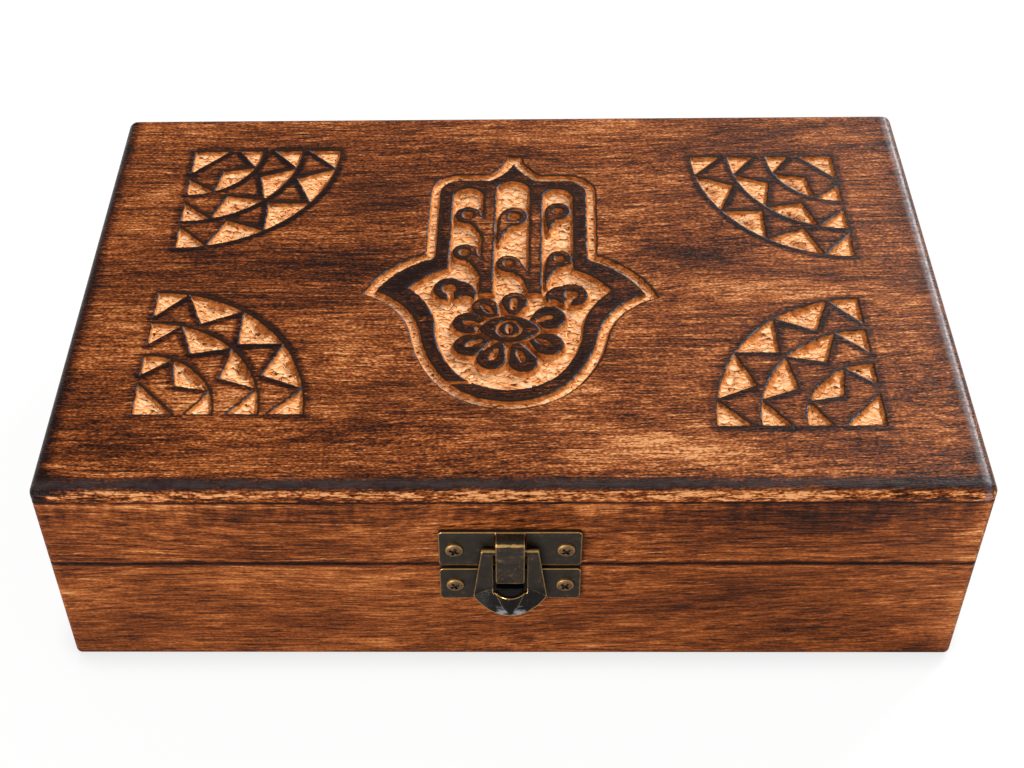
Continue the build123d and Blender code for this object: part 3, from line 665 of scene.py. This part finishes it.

# %% [markdown]
# ## Finish of the carving
# The lid was scorched before it was carved, so the cuts are pale and the rims are black where the torch
# caught their edges. At the far and right rims the black reaches further as painted shade, and the walls
# and floors of the cuts carry painted light and shade too. One material does all of it, because the top,
# the walls and the floors are one piece of wood: what each corner remembers says where one gives way to
# the next. First come the marks that the torch left on the flat top.

# %% Marks of the torch on the lid board
TOP_MM = TOP / MM
EDGE_X = board_high.x / MM
EDGE_Y = board_high.y / MM
board_marks = [
    ((-62, 4, TOP_MM), (48, 22, 20), -0.26),
    ((-40, 44, TOP_MM), (28, 22, 20), -0.12),
    ((-34, 16, TOP_MM), (20, 40, 20), -0.16),
    ((52, 12, TOP_MM), (30, 12, 20), -0.26),
    ((72, 62, TOP_MM), (34, 9, 20), -0.14),
    ((-34, -54, TOP_MM), (34, 8, 20), -0.14),
    ((-100, -66, TOP_MM), (30, 14, 20), -0.12),
    ((-99, 34, TOP_MM), (18, 22, 20), 0.12),
    ((-76, -44, TOP_MM), (28, 12, 20), 0.26),
    ((-40, -30, TOP_MM), (12, 16, 20), 0.14),
    ((32, -62, TOP_MM), (44, 14, 20), 0.26),
    ((74, -4, TOP_MM), (44, 8, 20), 0.16),
    ((10, 68, TOP_MM), (60, 8, 20), 0.06),
    ((100, 20, TOP_MM), (18, 30, 20), 0.06),
    ((0, -EDGE_Y + 2.3, TOP_MM), (FAR, 3.8, 1.2), -0.62),
    ((-EDGE_X, 0, TOP_MM), (5.5, FAR, 30), -0.66),
    ((EDGE_X, 0, TOP_MM), (10, FAR, 3), -0.26),
    ((0, EDGE_Y, TOP_MM), (FAR, 3, 20), -0.30),
    ((0, -EDGE_Y - 0.3, TOP_MM - 1.0), (FAR, 3, 3.0), 0.42),
    ((0, -EDGE_Y, TOP_MM - 4), (FAR, 4, 0.7), -0.40),
    ((EDGE_X, 0, TOP_MM - 3), (3, FAR, 2.4), 0.30),
    ((-EDGE_X, -EDGE_Y, TOP_MM - 1), (14, 9, 5), -0.60),
]
torn_strip = ((0, -EDGE_Y, TOP_MM - 1.8), (FAR, 3, 3.2), 1.0)
# the charred band along the front edge; its grey tint is a painted sheen
char_and_sheen_band = ((0, -EDGE_Y + 2.3, TOP_MM), (FAR, 3.2, 1.2), 0.80)
print("marks on the board:", len(board_marks))

# %% How dark the islands and the fans are
ISLAND_DARK = 0.46          # on the heel of the hand; the marks below change it elsewhere
scorch_marks = [
    ((0, 18, TOP_MM), (20, 34, 20), -0.62),
    ((-70, 42, TOP_MM), (36, 34, 20), 0.52),
    ((70, 38, TOP_MM), (36, 34, 20), 0.14),
    ((-62, -22, TOP_MM), (36, 26, 20), 0.34),
    ((62, -22, TOP_MM), (36, 26, 20), 0.08),
    ((84, -60, TOP_MM), (40, 14, 20), -0.06),
    ((-84, -58, TOP_MM), (34, 20, 20), -0.46),
    ((-82, 36, TOP_MM), (16, 30, 20), -0.30),
]
EYE_SOOT = ((0.6, -19.2, TOP_MM), (24, 20, 20), -1.1)   # in the shallow cuts of the flower
print("scorched areas:", len(scorch_marks))

# %% Colours of the cuts
CUT_STOPS = (
    (0.00, (0.060, 0.020, 0.008)),
    (0.25, (0.400, 0.120, 0.028)),
    (0.50, (0.840, 0.305, 0.092)),
    (0.75, (0.975, 0.445, 0.176)),
    (1.00, (0.985, 0.620, 0.350)),
)
WALL_STOPS = (
    (0.00, (0.012, 0.006, 0.004)),
    (0.25, (0.075, 0.022, 0.006)),
    (0.55, (0.360, 0.105, 0.022)),
    (0.80, (0.700, 0.250, 0.062)),
    (1.00, (0.880, 0.410, 0.140)),
)
# soot at the rims, and painted shade where it reaches further at far and right rims
BURNT_AND_SHADED = opaque(0.024, 0.009, 0.004)
# char with a painted sheen: the grey tint of the band along the front edge
CHAR_AND_SHEEN = opaque(0.052, 0.036, 0.034)
# painted highlight: cool grey of the thin line at the left rims
PAINTED_GLINT = opaque(0.130, 0.135, 0.170)
# painted highlight: cool grey along the lid's right edge
PAINTED_HIGHLIGHT = opaque(0.150, 0.130, 0.150)
print("cuts from", CUT_STOPS[0][1], "to", CUT_STOPS[-1][1])

# %% [markdown]
# The flat top is the same wood as the walls, brushed harder. Along its front edge the torch left a
# charred band, whose greyish sheen is painted into its colour, and below that the rounding broke through
# the char to torn, pale fibres. Between the pockets of the fans and on the islands it is nearly black.

# %% The scorched top
FAN_START = (45, 49)        # mm from the middle line: the fans lie beyond


def remembered(tree):
    """What each corner of the board remembers, as values for the finish."""
    names = ("rim_gap", "sink", "far_side", "left_side", "island", "shallow")
    return {name: add(tree, "Attribute", attribute_name=name).outputs["Fac"] for name in names}


def scorched_wood(tree, place, rim, uneven, in_fan):
    """Tone and height of the flat top."""
    tone, height = grain(tree, place, "X", 23.0, 1.0)
    tone = plus(tree, tone, spots(tree, place, board_marks))
    torn = minus(tree, pattern(tree, place, (3.6, 0.9, 0.7), 3.0, 0.65, 39.0), 0.54)
    tone = add_share(tree, tone, spots(tree, place, [torn_strip]), times(tree, torn, 3.8))
    scorch = spots(tree, place, scorch_marks)
    close = times(tree, in_fan, limits(tree, rim["rim_gap"], 1.1, 2.6, 1.0, 0.0))
    below_cut = limits(tree, rim["far_side"], -0.7, 0.2, 0.48, 0.18)
    in_fans = positive(tree, times(tree, close, plus(tree, scorch, below_cut)))
    islands = positive(tree, add_swing(tree, plus(tree, scorch, ISLAND_DARK), uneven, 0.9))
    dark = maths(tree, "MAXIMUM", in_fans, times(tree, rim["island"], islands))
    return minus(tree, tone, dark), height


# %% Rims and edges of the top
RIM_WIDTH = 0.30            # mm of soot at a near rim, and more at the others
# the painted highlight lies in the same band as the polish
POLISH_AND_HIGHLIGHT_UP = (1.45, 2.15)  # mm from the right edge, where the polish comes up
POLISH_AND_HIGHLIGHT_DOWN = (2.5, 4.1)  # and where it goes down


def burnt_and_shaded_rims(tree, rim, uneven, fine, in_fan):
    """Share of soot beside the rims, wider on the islands, in the fans and at right rims, and widest at
    far rims; at the far and right rims the extra black is painted shade.
    """
    # painted shade: the black reaches further at far rims, and below at right rims, whose walls face away
    # from the lamp
    width = add_share(tree, RIM_WIDTH, positive(tree, rim["far_side"]), 0.55)
    width = add_share(tree, width, maths(tree, "MINIMUM", rim["left_side"], 0.0), -0.15)
    width = add_share(tree, width, rim["island"], 0.45)
    width = add_share(tree, width, in_fan, 0.12)
    width = times(tree, width, add_swing(tree, 1.0, uneven, 3.0))
    near = maths(tree, "DIVIDE", rim["rim_gap"], maths(tree, "MAXIMUM", width, 0.12))
    return limits(tree, add_swing(tree, near, fine, 0.9), 0.6, 1.35, 0.95, 0.0)


def painted_rim_glint(tree, rim, uneven):
    """Share of a thin line at the left rims, which face the stronger lamp: a painted cool highlight,
    where the wax is also smoother.
    """
    line = limits(tree, rim["rim_gap"], 0.22, 0.42, 1.0, 0.0)
    painted_glint_and_gloss = times(tree, limits(tree, rim["left_side"], 0.25, 0.75), line)
    return times(tree, painted_glint_and_gloss, limits(tree, uneven, 0.45, 0.55))


def polish_and_painted_highlight(tree, place, uneven):
    """Share of polish and of a painted highlight along the right edge, by which the lid is lifted."""
    from_right = minus(tree, EDGE_X, part_of(tree, place, "X"))
    polish_and_highlight = times(
        tree, limits(tree, from_right, *POLISH_AND_HIGHLIGHT_UP), limits(tree, from_right, *POLISH_AND_HIGHLIGHT_DOWN, 1.0, 0.0)
    )
    return times(tree, polish_and_highlight, limits(tree, uneven, 0.25, 0.60, 0.45, 1.0))


# %% [markdown]
# A gouge takes the waste out in short scoops, so a floor is made of small tilted facets with
# a fine ridge between them. Their large form is in the mesh. The material adds smaller ones:
# a Voronoi texture, squeezed and warped so that its cells lie like scoops in a row.

# %% Facets of the gouge
SCOOP = (0.42, 0.80, 0.5)   # cells for each millimetre in X, Y and Z


def gouged(tree, place):
    """Tilted facets left by a gouge: their height; a tone that differs at random between facets and is
    painted lighter at the near side of each and darker at its far side, as light and shade; and their
    edges."""
    warp = pattern(tree, place, (2.4, 2.4, 2.4), 1.0, seed=71.0)
    sideways = {"X": add_swing(tree, 0.0, warp, 3.0), "Y": add_swing(tree, 0.0, warp, -4.0)}
    warped = vectors(tree, "ADD", place, add(tree, "CombineXYZ", sideways).outputs[0])
    warped = vectors(tree, "MULTIPLY", warped, SCOOP)
    cells = add(tree, "TexVoronoi", {"Vector": warped, "Scale": 1.0}).outputs
    away = vectors(tree, "SUBTRACT", warped, cells["Position"])
    tilt = vectors(tree, "SUBTRACT", cells["Color"], (0.5, 0.5, 0.5))
    height = vectors(tree, "DOT_PRODUCT", away, tilt)
    tone = add_swing(tree, 0.0, part_of(tree, cells["Color"], "Z"), 0.34)
    # painted light and shade: each facet lighter at its near side and darker at its far side
    tone = add_share(tree, tone, part_of(tree, away, "Y"), -0.75)
    border = add(tree, "TexVoronoi", {"Vector": warped, "Scale": 1.0}, feature="DISTANCE_TO_EDGE")
    return height, tone, limits(tree, border.outputs["Distance"], 0.03, 0.15, 1.0, 0.0)


# %% Floors and walls of the cuts
def cut_floor(tree, place, rim, uneven, strokes, facet_tone_and_light, facet_edge_shade):
    """Pale wood in facets, with a few dark strokes and specks, and painted shade along the facets' edges.
    """
    specks = flecks(tree, place, (1.2, 0.7, 0.7), 0.68, 0.71, 43.0)
    tone = add_swing(tree, plus(tree, facet_tone_and_light, 0.81), strokes, 0.50)
    # painted shade along the facets' edges, as in creases
    facet_edge_shade = times(tree, facet_edge_shade, limits(tree, uneven, 0.40, 0.60, 0.10, 1.0))
    tone = add_share(tree, tone, facet_edge_shade, -0.52)
    tone = add_share(tree, tone, specks, -0.70)
    tone = plus(tree, tone, times(tree, rim["shallow"], spots(tree, place, [EYE_SOOT])))
    return ramp(tree, tone, CUT_STOPS)


def cut_wall(tree, rim, uneven, strokes):
    """Brown walls, lighter towards their foot. Below a left rim, where the wall faces the lamp, they are
    painted lighter, and below a right or far rim darker, as light and shade.
    """
    # painted light and shade: darker below far and right rims, lighter below left rims, which face the
    # lamp
    tone = add_share(tree, 0.46, rim["far_side"], -0.04)
    tone = add_share(tree, tone, rim["left_side"], 0.12)
    tone = add_share(tree, tone, rim["sink"], 0.32)
    tone = add_swing(tree, add_swing(tree, tone, strokes, 0.9), uneven, 0.8)
    return ramp(tree, tone, WALL_STOPS)


# %% The whole finish of the lid board
def carved_wood():
    """Scorched and waxed wood with pale cuts and burnt rims."""
    material, tree, shader = start("carved_board_wood")
    place = millimetres(tree)
    rim = remembered(tree)
    uneven = pattern(tree, place, (2.6, 2.2, 2.4), 3.0, 0.6, 31.0)
    fine = pattern(tree, place, (0.7, 0.7, 0.7), 2.0, 0.6, 33.0)
    strokes = pattern(tree, place, (2.4, 0.55, 0.6), 2.0, 0.6, 37.0)
    aside = maths(tree, "ABSOLUTE", part_of(tree, place, "X"))
    in_fan = limits(tree, aside, *FAN_START)

    # the flat top
    tone, height = scorched_wood(tree, place, rim, uneven, in_fan)
    char_and_sheen = spots(tree, place, [char_and_sheen_band])
    char_and_sheen = times(tree, char_and_sheen, limits(tree, uneven, 0.35, 0.62, 0.45, 1.0))
    painted_glint_and_gloss = painted_rim_glint(tree, rim, uneven)
    polish_and_highlight = polish_and_painted_highlight(tree, place, uneven)
    # the charred band, with its grey tint a painted sheen
    colour = blend(tree, char_and_sheen, ramp(tree, tone, WOOD_STOPS), CHAR_AND_SHEEN)
    # soot beside the rims, with painted shade where it reaches further at far and right rims
    colour = blend(tree, burnt_and_shaded_rims(tree, rim, uneven, fine, in_fan), colour, BURNT_AND_SHADED)
    # painted highlight: a thin cool grey line at the left rims
    colour = blend(tree, times(tree, painted_glint_and_gloss, 0.75), colour, PAINTED_GLINT)
    # painted highlight along the right edge, over the coat's polish
    colour = blend(tree, times(tree, polish_and_highlight, 0.45), colour, PAINTED_HIGHLIGHT)

    # the cuts
    facet, facet_tone_and_light, facet_edge_shade = gouged(tree, place)
    floor = cut_floor(tree, place, rim, uneven, strokes, facet_tone_and_light, facet_edge_shade)
    low = limits(tree, add_swing(tree, rim["sink"], strokes, 0.20), 0.92, 0.97)
    cut_colour = blend(tree, low, cut_wall(tree, rim, uneven, strokes), floor)
    cut = limits(tree, rim["sink"], 0.02, 0.14)
    tree.links.new(blend(tree, cut, colour, cut_colour), shader.inputs["Base Color"])

    # wax: handled edges are smoother, and the cuts have none
    waxed = limits(tree, tone, 0.1, 0.9, 0.36, 0.56)
    handled = limits(tree, part_of(tree, place, "Z"), TOP_MM - 0.15, TOP_MM - 0.02, -0.14, 0.0)
    waxed = plus(tree, waxed, times(tree, handled, minus(tree, 1.0, cut)))
    waxed = add_share(tree, waxed, painted_glint_and_gloss, -0.15)
    rough = add_share(tree, waxed, cut, minus(tree, 0.72, waxed))
    tree.links.new(rough, shader.inputs["Roughness"])
    shader.inputs["Specular IOR Level"].default_value = 0.07
    bare = limits(tree, fine, 0.30, 0.60, 1.0, 0.4)
    tree.links.new(times(tree, polish_and_highlight, bare, 0.8), shader.inputs["Coat Weight"])
    shader.inputs["Coat Roughness"].default_value = 0.40
    facets = add_share(tree, times(tree, facet, 5.0), strokes, 1.2)
    relief = add(tree, "Mix", {0: cut, 2: height, 3: facets}, data_type="FLOAT").outputs[0]
    tree.links.new(bumped(tree, relief, 0.16), shader.inputs["Normal"])
    return material


carved_board.data.materials.append(carved_wood())
print("finish of the board:", carved_board.data.materials[0].name)

# %% [markdown]
# ## Brass
# The latch is pressed from sheet, blackened in a bath and then tumbled, which brightens its edges again.
# The edges could be painted by hand, but the shader can find them itself: it compares the surface with
# one whose edges are rounded over, and where the two differ there is an edge. Small functions say, from
# the place and partly from which way the surface faces, where fingers and the strap rub, where a
# highlight is painted on the strap's bend, the bar's top and the lip's end, and where the lip and the
# space behind the slot are painted dark as a reflection and as shade.

# %% Where the latch is rubbed, thin or dark
lever_low, lever_high = (Vector(corner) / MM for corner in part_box("latch_lever"))
SHEET = 1.3                 # mm out from the wall: just past the face of the plates


def proud(tree, place):
    """0 on the plates, 1 on what stands out from them."""
    out = minus(tree, FRONT, part_of(tree, place, "Y"))
    return limits(tree, out, SHEET, SHEET + 0.6)


def hasp_rub_and_highlight(tree, place, normal):
    """The strap: it wears a little all over, and more across its first bend, where a band that faces half
    up is a painted highlight.
    """
    up = part_of(tree, normal, "Z")
    # painted highlight: a band across the strap's first bend, where it faces half up
    bend = times(tree, limits(tree, up, 0.20, 0.45), limits(tree, up, 0.60, 0.85, 1.0, 0.0))
    return times(tree, add_share(tree, 0.16, bend, 0.75), proud(tree, place))


def strap_coat(tree, place):
    """The patina on the strap is thin, and scratched through."""
    scratches = pattern(tree, place, (0.35, 0.55, 0.8), 3.0, 0.7, 55.0)
    return times(tree, limits(tree, scratches, 0.54, 0.74, 0.0, 0.22), proud(tree, place))


def lever_rub_and_highlight(tree, place, normal):
    """The top of the rolled bar where it faces up: wear, and a painted highlight."""
    high = limits(tree, part_of(tree, place, "Z"), lever_high.z - 1.5, lever_high.z - 0.7)
    # wear and a painted highlight where the bar's top faces up
    return times(tree, limits(tree, part_of(tree, normal, "Z"), 0.45, 0.8), high)


def lip_gloss_and_painted_dark(tree, place):
    """The flared lip, made smooth by fingers, and its colour painted near-black as a dark reflection."""
    return limits(tree, part_of(tree, place, "Z"), lever_low.z + 5.0, lever_low.z + 8.0, 1.0, 0.0)


def lip_painted_highlight(tree, place):
    """Both sides of the spoon's end, the lowest of the lip, painted pale as a highlight."""
    above = minus(tree, part_of(tree, place, "Z"), lever_low.z)
    aside = minus(tree, maths(tree, "ABSOLUTE", part_of(tree, place, "X")), 2.2)
    above = add_share(tree, above, times(tree, aside, aside), 0.45)
    highlight_breakup = pattern(tree, place, (1.6, 1.6, 0.5), 2.0, 0.6, 58.0)
    return limits(tree, add_swing(tree, above, highlight_breakup, 5.0), 0.3, 2.4, 0.60, 0.0)


def shaded_behind_slot(tree, place):
    """0 behind the lever's slot, which is kept from wear and painted black as shade, and 1 beside it."""
    return limits(tree, maths(tree, "ABSOLUTE", part_of(tree, place, "X")), 4.3, 5.2)


print("lever from", round(lever_low.z, 2), "to", round(lever_high.z, 2), "mm up")

# %% Blackened brass with worn edges
BRASS = (0.74, 0.44, 0.150)
# painted near-black: the lip's dark reflection and the shade behind the lever's slot
PAINTED_DARK = opaque(0.002, 0.002, 0.002)
# painted pale highlight at the lip's end
PAINTED_LIP_HIGHLIGHT = opaque(0.44, 0.45, 0.48)


def worn_brass(name, patina, width, seed, rub_and_highlight=None, hidden_and_shaded=None, gloss_and_painted_dark=None, thin=None):
    """Dark patina on the faces, bright metal on the edges. Four optional functions give where the metal
    also shows bright, from wear and as a painted highlight; where it is kept from wear and painted black
    as shade; where it is smoother and painted near-black as a dark reflection, with a painted pale
    highlight at its tip; and where it is thinly coated."""
    material, tree, shader = start(name)
    place = millimetres(tree)
    round_normal = add(tree, "Bevel", {"Radius": width * MM}, samples=8).outputs[0]
    true_normal = add(tree, "NewGeometry").outputs["Normal"]
    cloud = pattern(tree, place, (2.2, 2.2, 2.2), 3.0, 0.6, seed)
    fine = pattern(tree, place, (0.30, 0.30, 0.30), 2.0, 0.6, seed + 1)

    # wear: strongest on edges that look up
    edge = minus(tree, 1.0, vectors(tree, "DOT_PRODUCT", round_normal, true_normal))
    edge = times(tree, edge, add_share(tree, 1.0, part_of(tree, round_normal, "Z"), 0.9))
    edge = add_swing(tree, add_swing(tree, edge, cloud, 0.16), fine, 0.12)
    wear_and_highlight = limits(tree, edge, 0.02, 0.10)
    # wear from rubbing, and a painted highlight on the strap's bend and the bar's top
    if rub_and_highlight:
        patchy = add_swing(tree, rub_and_highlight(tree, place, true_normal), fine, 1.2)
        patchy = add_swing(tree, patchy, cloud, 1.6)
        wear_and_highlight = maths(tree, "MAXIMUM", wear_and_highlight, limits(tree, patchy, 0.35, 0.85))
    if hidden_and_shaded:
        wear_and_highlight = times(tree, wear_and_highlight, hidden_and_shaded(tree, place))

    # patina
    lighter = opaque(*[v * 1.5 for v in patina])
    mottled = blend(tree, limits(tree, cloud, 0.35, 0.65), opaque(*patina), lighter)
    if thin:
        mottled = blend(tree, thin(tree, place), mottled, opaque(*BRASS))
    if gloss_and_painted_dark:
        # painted dark reflection: the lip's colour near-black
        mottled = blend(tree, times(tree, gloss_and_painted_dark(tree, place), 0.9), mottled, PAINTED_DARK)
        # painted highlight: pale at both sides of the lip's end
        mottled = blend(tree, lip_painted_highlight(tree, place), mottled, PAINTED_LIP_HIGHLIGHT)
    if hidden_and_shaded:
        # painted shade: black behind the lever's slot
        mottled = blend(tree, hidden_and_shaded(tree, place), PAINTED_DARK, mottled)

    duller = opaque(*[v * 0.6 for v in BRASS])
    metal = blend(tree, limits(tree, fine, 0.35, 0.65), opaque(*BRASS), duller)
    tree.links.new(blend(tree, wear_and_highlight, mottled, metal), shader.inputs["Base Color"])
    rough = limits(tree, wear_and_highlight, 0.0, 1.0, 0.42, 0.32)
    if gloss_and_painted_dark:
        rough = add_share(tree, rough, gloss_and_painted_dark(tree, place), -0.30)
    tree.links.new(rough, shader.inputs["Roughness"])
    tree.links.new(limits(tree, wear_and_highlight, 0.0, 1.0, 0.20, 1.0), shader.inputs["Metallic"])
    shader.inputs["Specular IOR Level"].default_value = 0.24
    height = plus(tree, fine, cloud)
    tree.links.new(bumped(tree, height, 0.02, round_normal), shader.inputs["Normal"])
    return material


# %% Finish of the latch and the hinges
LATCH_PATINA = (0.0165, 0.0118, 0.008)
HINGE_PATINA = (0.040, 0.030, 0.021)
PLATE_WEAR = 0.52           # mm: how far wear reaches in from an edge
LEVER_WEAR = 0.50
hasp_brass = worn_brass("hasp_brass", LATCH_PATINA, PLATE_WEAR, 51.0, rub_and_highlight=hasp_rub_and_highlight, thin=strap_coat)
catch_brass = worn_brass("catch_brass", LATCH_PATINA, PLATE_WEAR, 52.0, hidden_and_shaded=shaded_behind_slot)
lever_brass = worn_brass("lever_brass", LATCH_PATINA, LEVER_WEAR, 53.0, rub_and_highlight=lever_rub_and_highlight, gloss_and_painted_dark=lip_gloss_and_painted_dark)
hinge_brass = worn_brass("hinge_brass", HINGE_PATINA, LEVER_WEAR, 61.0)
finish_node("latch_hasp_plate", hasp_brass)
finish_node("latch_catch_plate", catch_brass)
finish_node("latch_lever", lever_brass)
for side in ("left", "right"):
    for part in ("base_leaf", "lid_leaf", "pin"):
        finish_node(f"hinge_{side}_{part}", hinge_brass)
print("brass:", ", ".join(made.name for made in (hasp_brass, catch_brass, lever_brass, hinge_brass)))

# %% [markdown]
# The screws are plain brass that has gone brown, and their cross recesses are painted black as shade. The
# screws of one plate share a mesh, so the finish folds their places onto one another before it measures
# the distance from a screw's own axis.

# %% Brown brass with a black recess
HEAD_RADIUS = 2.1           # mm, latch screws
HEAD_DOME = 0.11            # fall of a domed head, in mm, for each square mm from its axis
HINGE_HEAD_RADIUS = 1.9
LEAF_PITCH = 7.0            # half the distance between the two screws of a leaf
RECESS_REACH = 1.5          # mm from the axis to the end of the cross


def from_axis(tree, place, middle_height, folds):
    """Distance from the nearest screw's axis. Folds are the distances of the screws from
    the middle, halved again and again."""
    across = part_of(tree, place, "X")
    for fold in folds:
        across = minus(tree, maths(tree, "ABSOLUTE", across), fold)
    up = minus(tree, part_of(tree, place, "Z"), middle_height)
    return vectors(tree, "LENGTH", add(tree, "CombineXYZ", {"X": across, "Y": up}).outputs[0])


def screw_brass(node, out_axis, crown, folds, head, dome):
    """Finish the screws of a plate. Crown is the place of their heads' faces along Y, and
    out_axis says which way along Y they face."""
    material, tree, shader = start(node)
    place = millimetres(tree)
    low, high = (Vector(corner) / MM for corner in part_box(node))
    away = from_axis(tree, place, (low.z + high.z) / 2, folds)
    under = times(tree, minus(tree, crown, part_of(tree, place, "Y")), out_axis)
    below = minus(tree, under, times(tree, away, away, dome))
    cross = limits(tree, away, RECESS_REACH - 0.15, RECESS_REACH, 1.0, 0.0)
    recess_shade = times(tree, limits(tree, below, 0.04, 0.12), cross)
    fine = pattern(tree, place, (0.35, 0.35, 0.35), 2.0, 0.6, 57.0)
    rim = limits(tree, add_swing(tree, away, fine, 0.5), head - 0.45, head - 0.10)
    mottle = limits(tree, fine, 0.35, 0.65)
    colour = blend(tree, mottle, opaque(0.100, 0.052, 0.020), opaque(0.240, 0.128, 0.052))
    colour = blend(tree, times(tree, rim, 0.7), colour, opaque(0.48, 0.28, 0.10))
    # painted shade: the cross recess black
    colour = blend(tree, recess_shade, colour, opaque(0.004, 0.003, 0.003))
    tree.links.new(colour, shader.inputs["Base Color"])
    tree.links.new(minus(tree, 0.75, times(tree, recess_shade, 0.75)), shader.inputs["Metallic"])
    shader.inputs["Roughness"].default_value = 0.42
    round_normal = add(tree, "Bevel", {"Radius": 0.15 * MM}, samples=6).outputs[0]
    tree.links.new(bumped(tree, fine, 0.03, round_normal), shader.inputs["Normal"])
    finish_node(node, material)
    print(node, "finished")


# %% Finish the screws
for node in ("latch_hasp_screws", "latch_catch_screws"):
    low, high = (Vector(corner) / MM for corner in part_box(node))
    screw_brass(node, -1, low.y, [high.x - HEAD_RADIUS], HEAD_RADIUS, HEAD_DOME)
for node in ("hinge_base_screws", "hinge_lid_screws"):
    low, high = (Vector(corner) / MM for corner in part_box(node))
    folds = [high.x - HINGE_HEAD_RADIUS - LEAF_PITCH, LEAF_PITCH]
    screw_brass(node, 1, high.y, folds, HINGE_HEAD_RADIUS, 0.0)

# %% [markdown]
# ## Floor and light
# The box stands on a white floor that runs on behind it. A large soft lamp above and behind to the right
# draws the cool line along the lid's right edge, helped by a highlight painted there, and a weaker one in
# front to the left lights the face with the latch. A floor lit strongly enough to look white would glare
# up at the box, so it is lit less than it looks and makes up the rest itself for the camera. Its own
# ambient occlusion keeps a soft shadow close to the box.

# %% Floor
FLOOR_REACH = 4.0           # m from the middle to its edges
SHADOW_REACH = 0.010        # m from the box that the close shadow spreads
GLOW = 0.92                 # what the floor adds for the camera: with the lamps it is white

floor_mesh = bmesh.new()
bmesh.ops.create_grid(floor_mesh, x_segments=1, y_segments=1, size=FLOOR_REACH)
mesh = bpy.data.meshes.new("floor")
floor_mesh.to_mesh(mesh)
floor_mesh.free()
floor = bpy.data.objects.new("floor", mesh)
bpy.context.scene.collection.objects.link(floor)

material, tree, shader = start("floor_white")
shader.inputs["Base Color"].default_value = opaque(0.8, 0.8, 0.8)
shader.inputs["Roughness"].default_value = 0.9
closeness = add(tree, "AmbientOcclusion", {"Distance": SHADOW_REACH}, samples=8).outputs["AO"]
strength = times(tree, limits(tree, closeness, 0.45, 0.95, 0.84, 1.0), GLOW)
lit = add(tree, "BsdfDiffuse", {"Color": opaque(0.105, 0.105, 0.105)}).outputs[0]
glow = add(tree, "Emission", {"Color": opaque(1.0, 1.0, 1.0), "Strength": strength}).outputs[0]
seen_floor = add(tree, "AddShader", {0: lit, 1: glow}).outputs[0]
seen = add(tree, "LightPath").outputs["Is Camera Ray"]
mixed = add(tree, "MixShader", {0: seen, 1: shader.outputs[0], 2: seen_floor}).outputs[0]
tree.links.new(mixed, tree.nodes["Material Output"].inputs["Surface"])
mesh.materials.append(material)
print("floor:", 2 * FLOOR_REACH, "m wide")

# %% Lamps and sky
SKY = (opaque(1.0, 0.98, 0.96), 0.51)
BOX_MIDDLE = (0.0, 0.0, 0.05)
LATCH_SIDE = (0.0, 0.0, 0.03)

world = bpy.data.worlds.new("studio")
world.use_nodes = True
sky = world.node_tree.nodes["Background"]
sky.inputs["Color"].default_value, sky.inputs["Strength"].default_value = SKY
bpy.context.scene.world = world
bpy.context.scene.view_settings.view_transform = "Standard"


def lamp(name, place, target, size, power):
    """A square soft lamp, aimed at a point."""
    data = bpy.data.lights.new(name, "AREA")
    data.size = size
    data.energy = power
    thing = bpy.data.objects.new(name, data)
    bpy.context.scene.collection.objects.link(thing)
    thing.location = place
    thing.rotation_euler = (Vector(target) - Vector(place)).to_track_quat("-Z", "Y").to_euler()
    print(name, "lamp:", power, "W,", size, "m across")


lamp("back_right", (1.67, 2.22, 1.47), BOX_MIDDLE, 1.3, 137.0)
lamp("front_left", (-1.70, -2.30, 0.85), LATCH_SIDE, 1.5, 73.0)

# %% The end
bpy.context.view_layer.update()
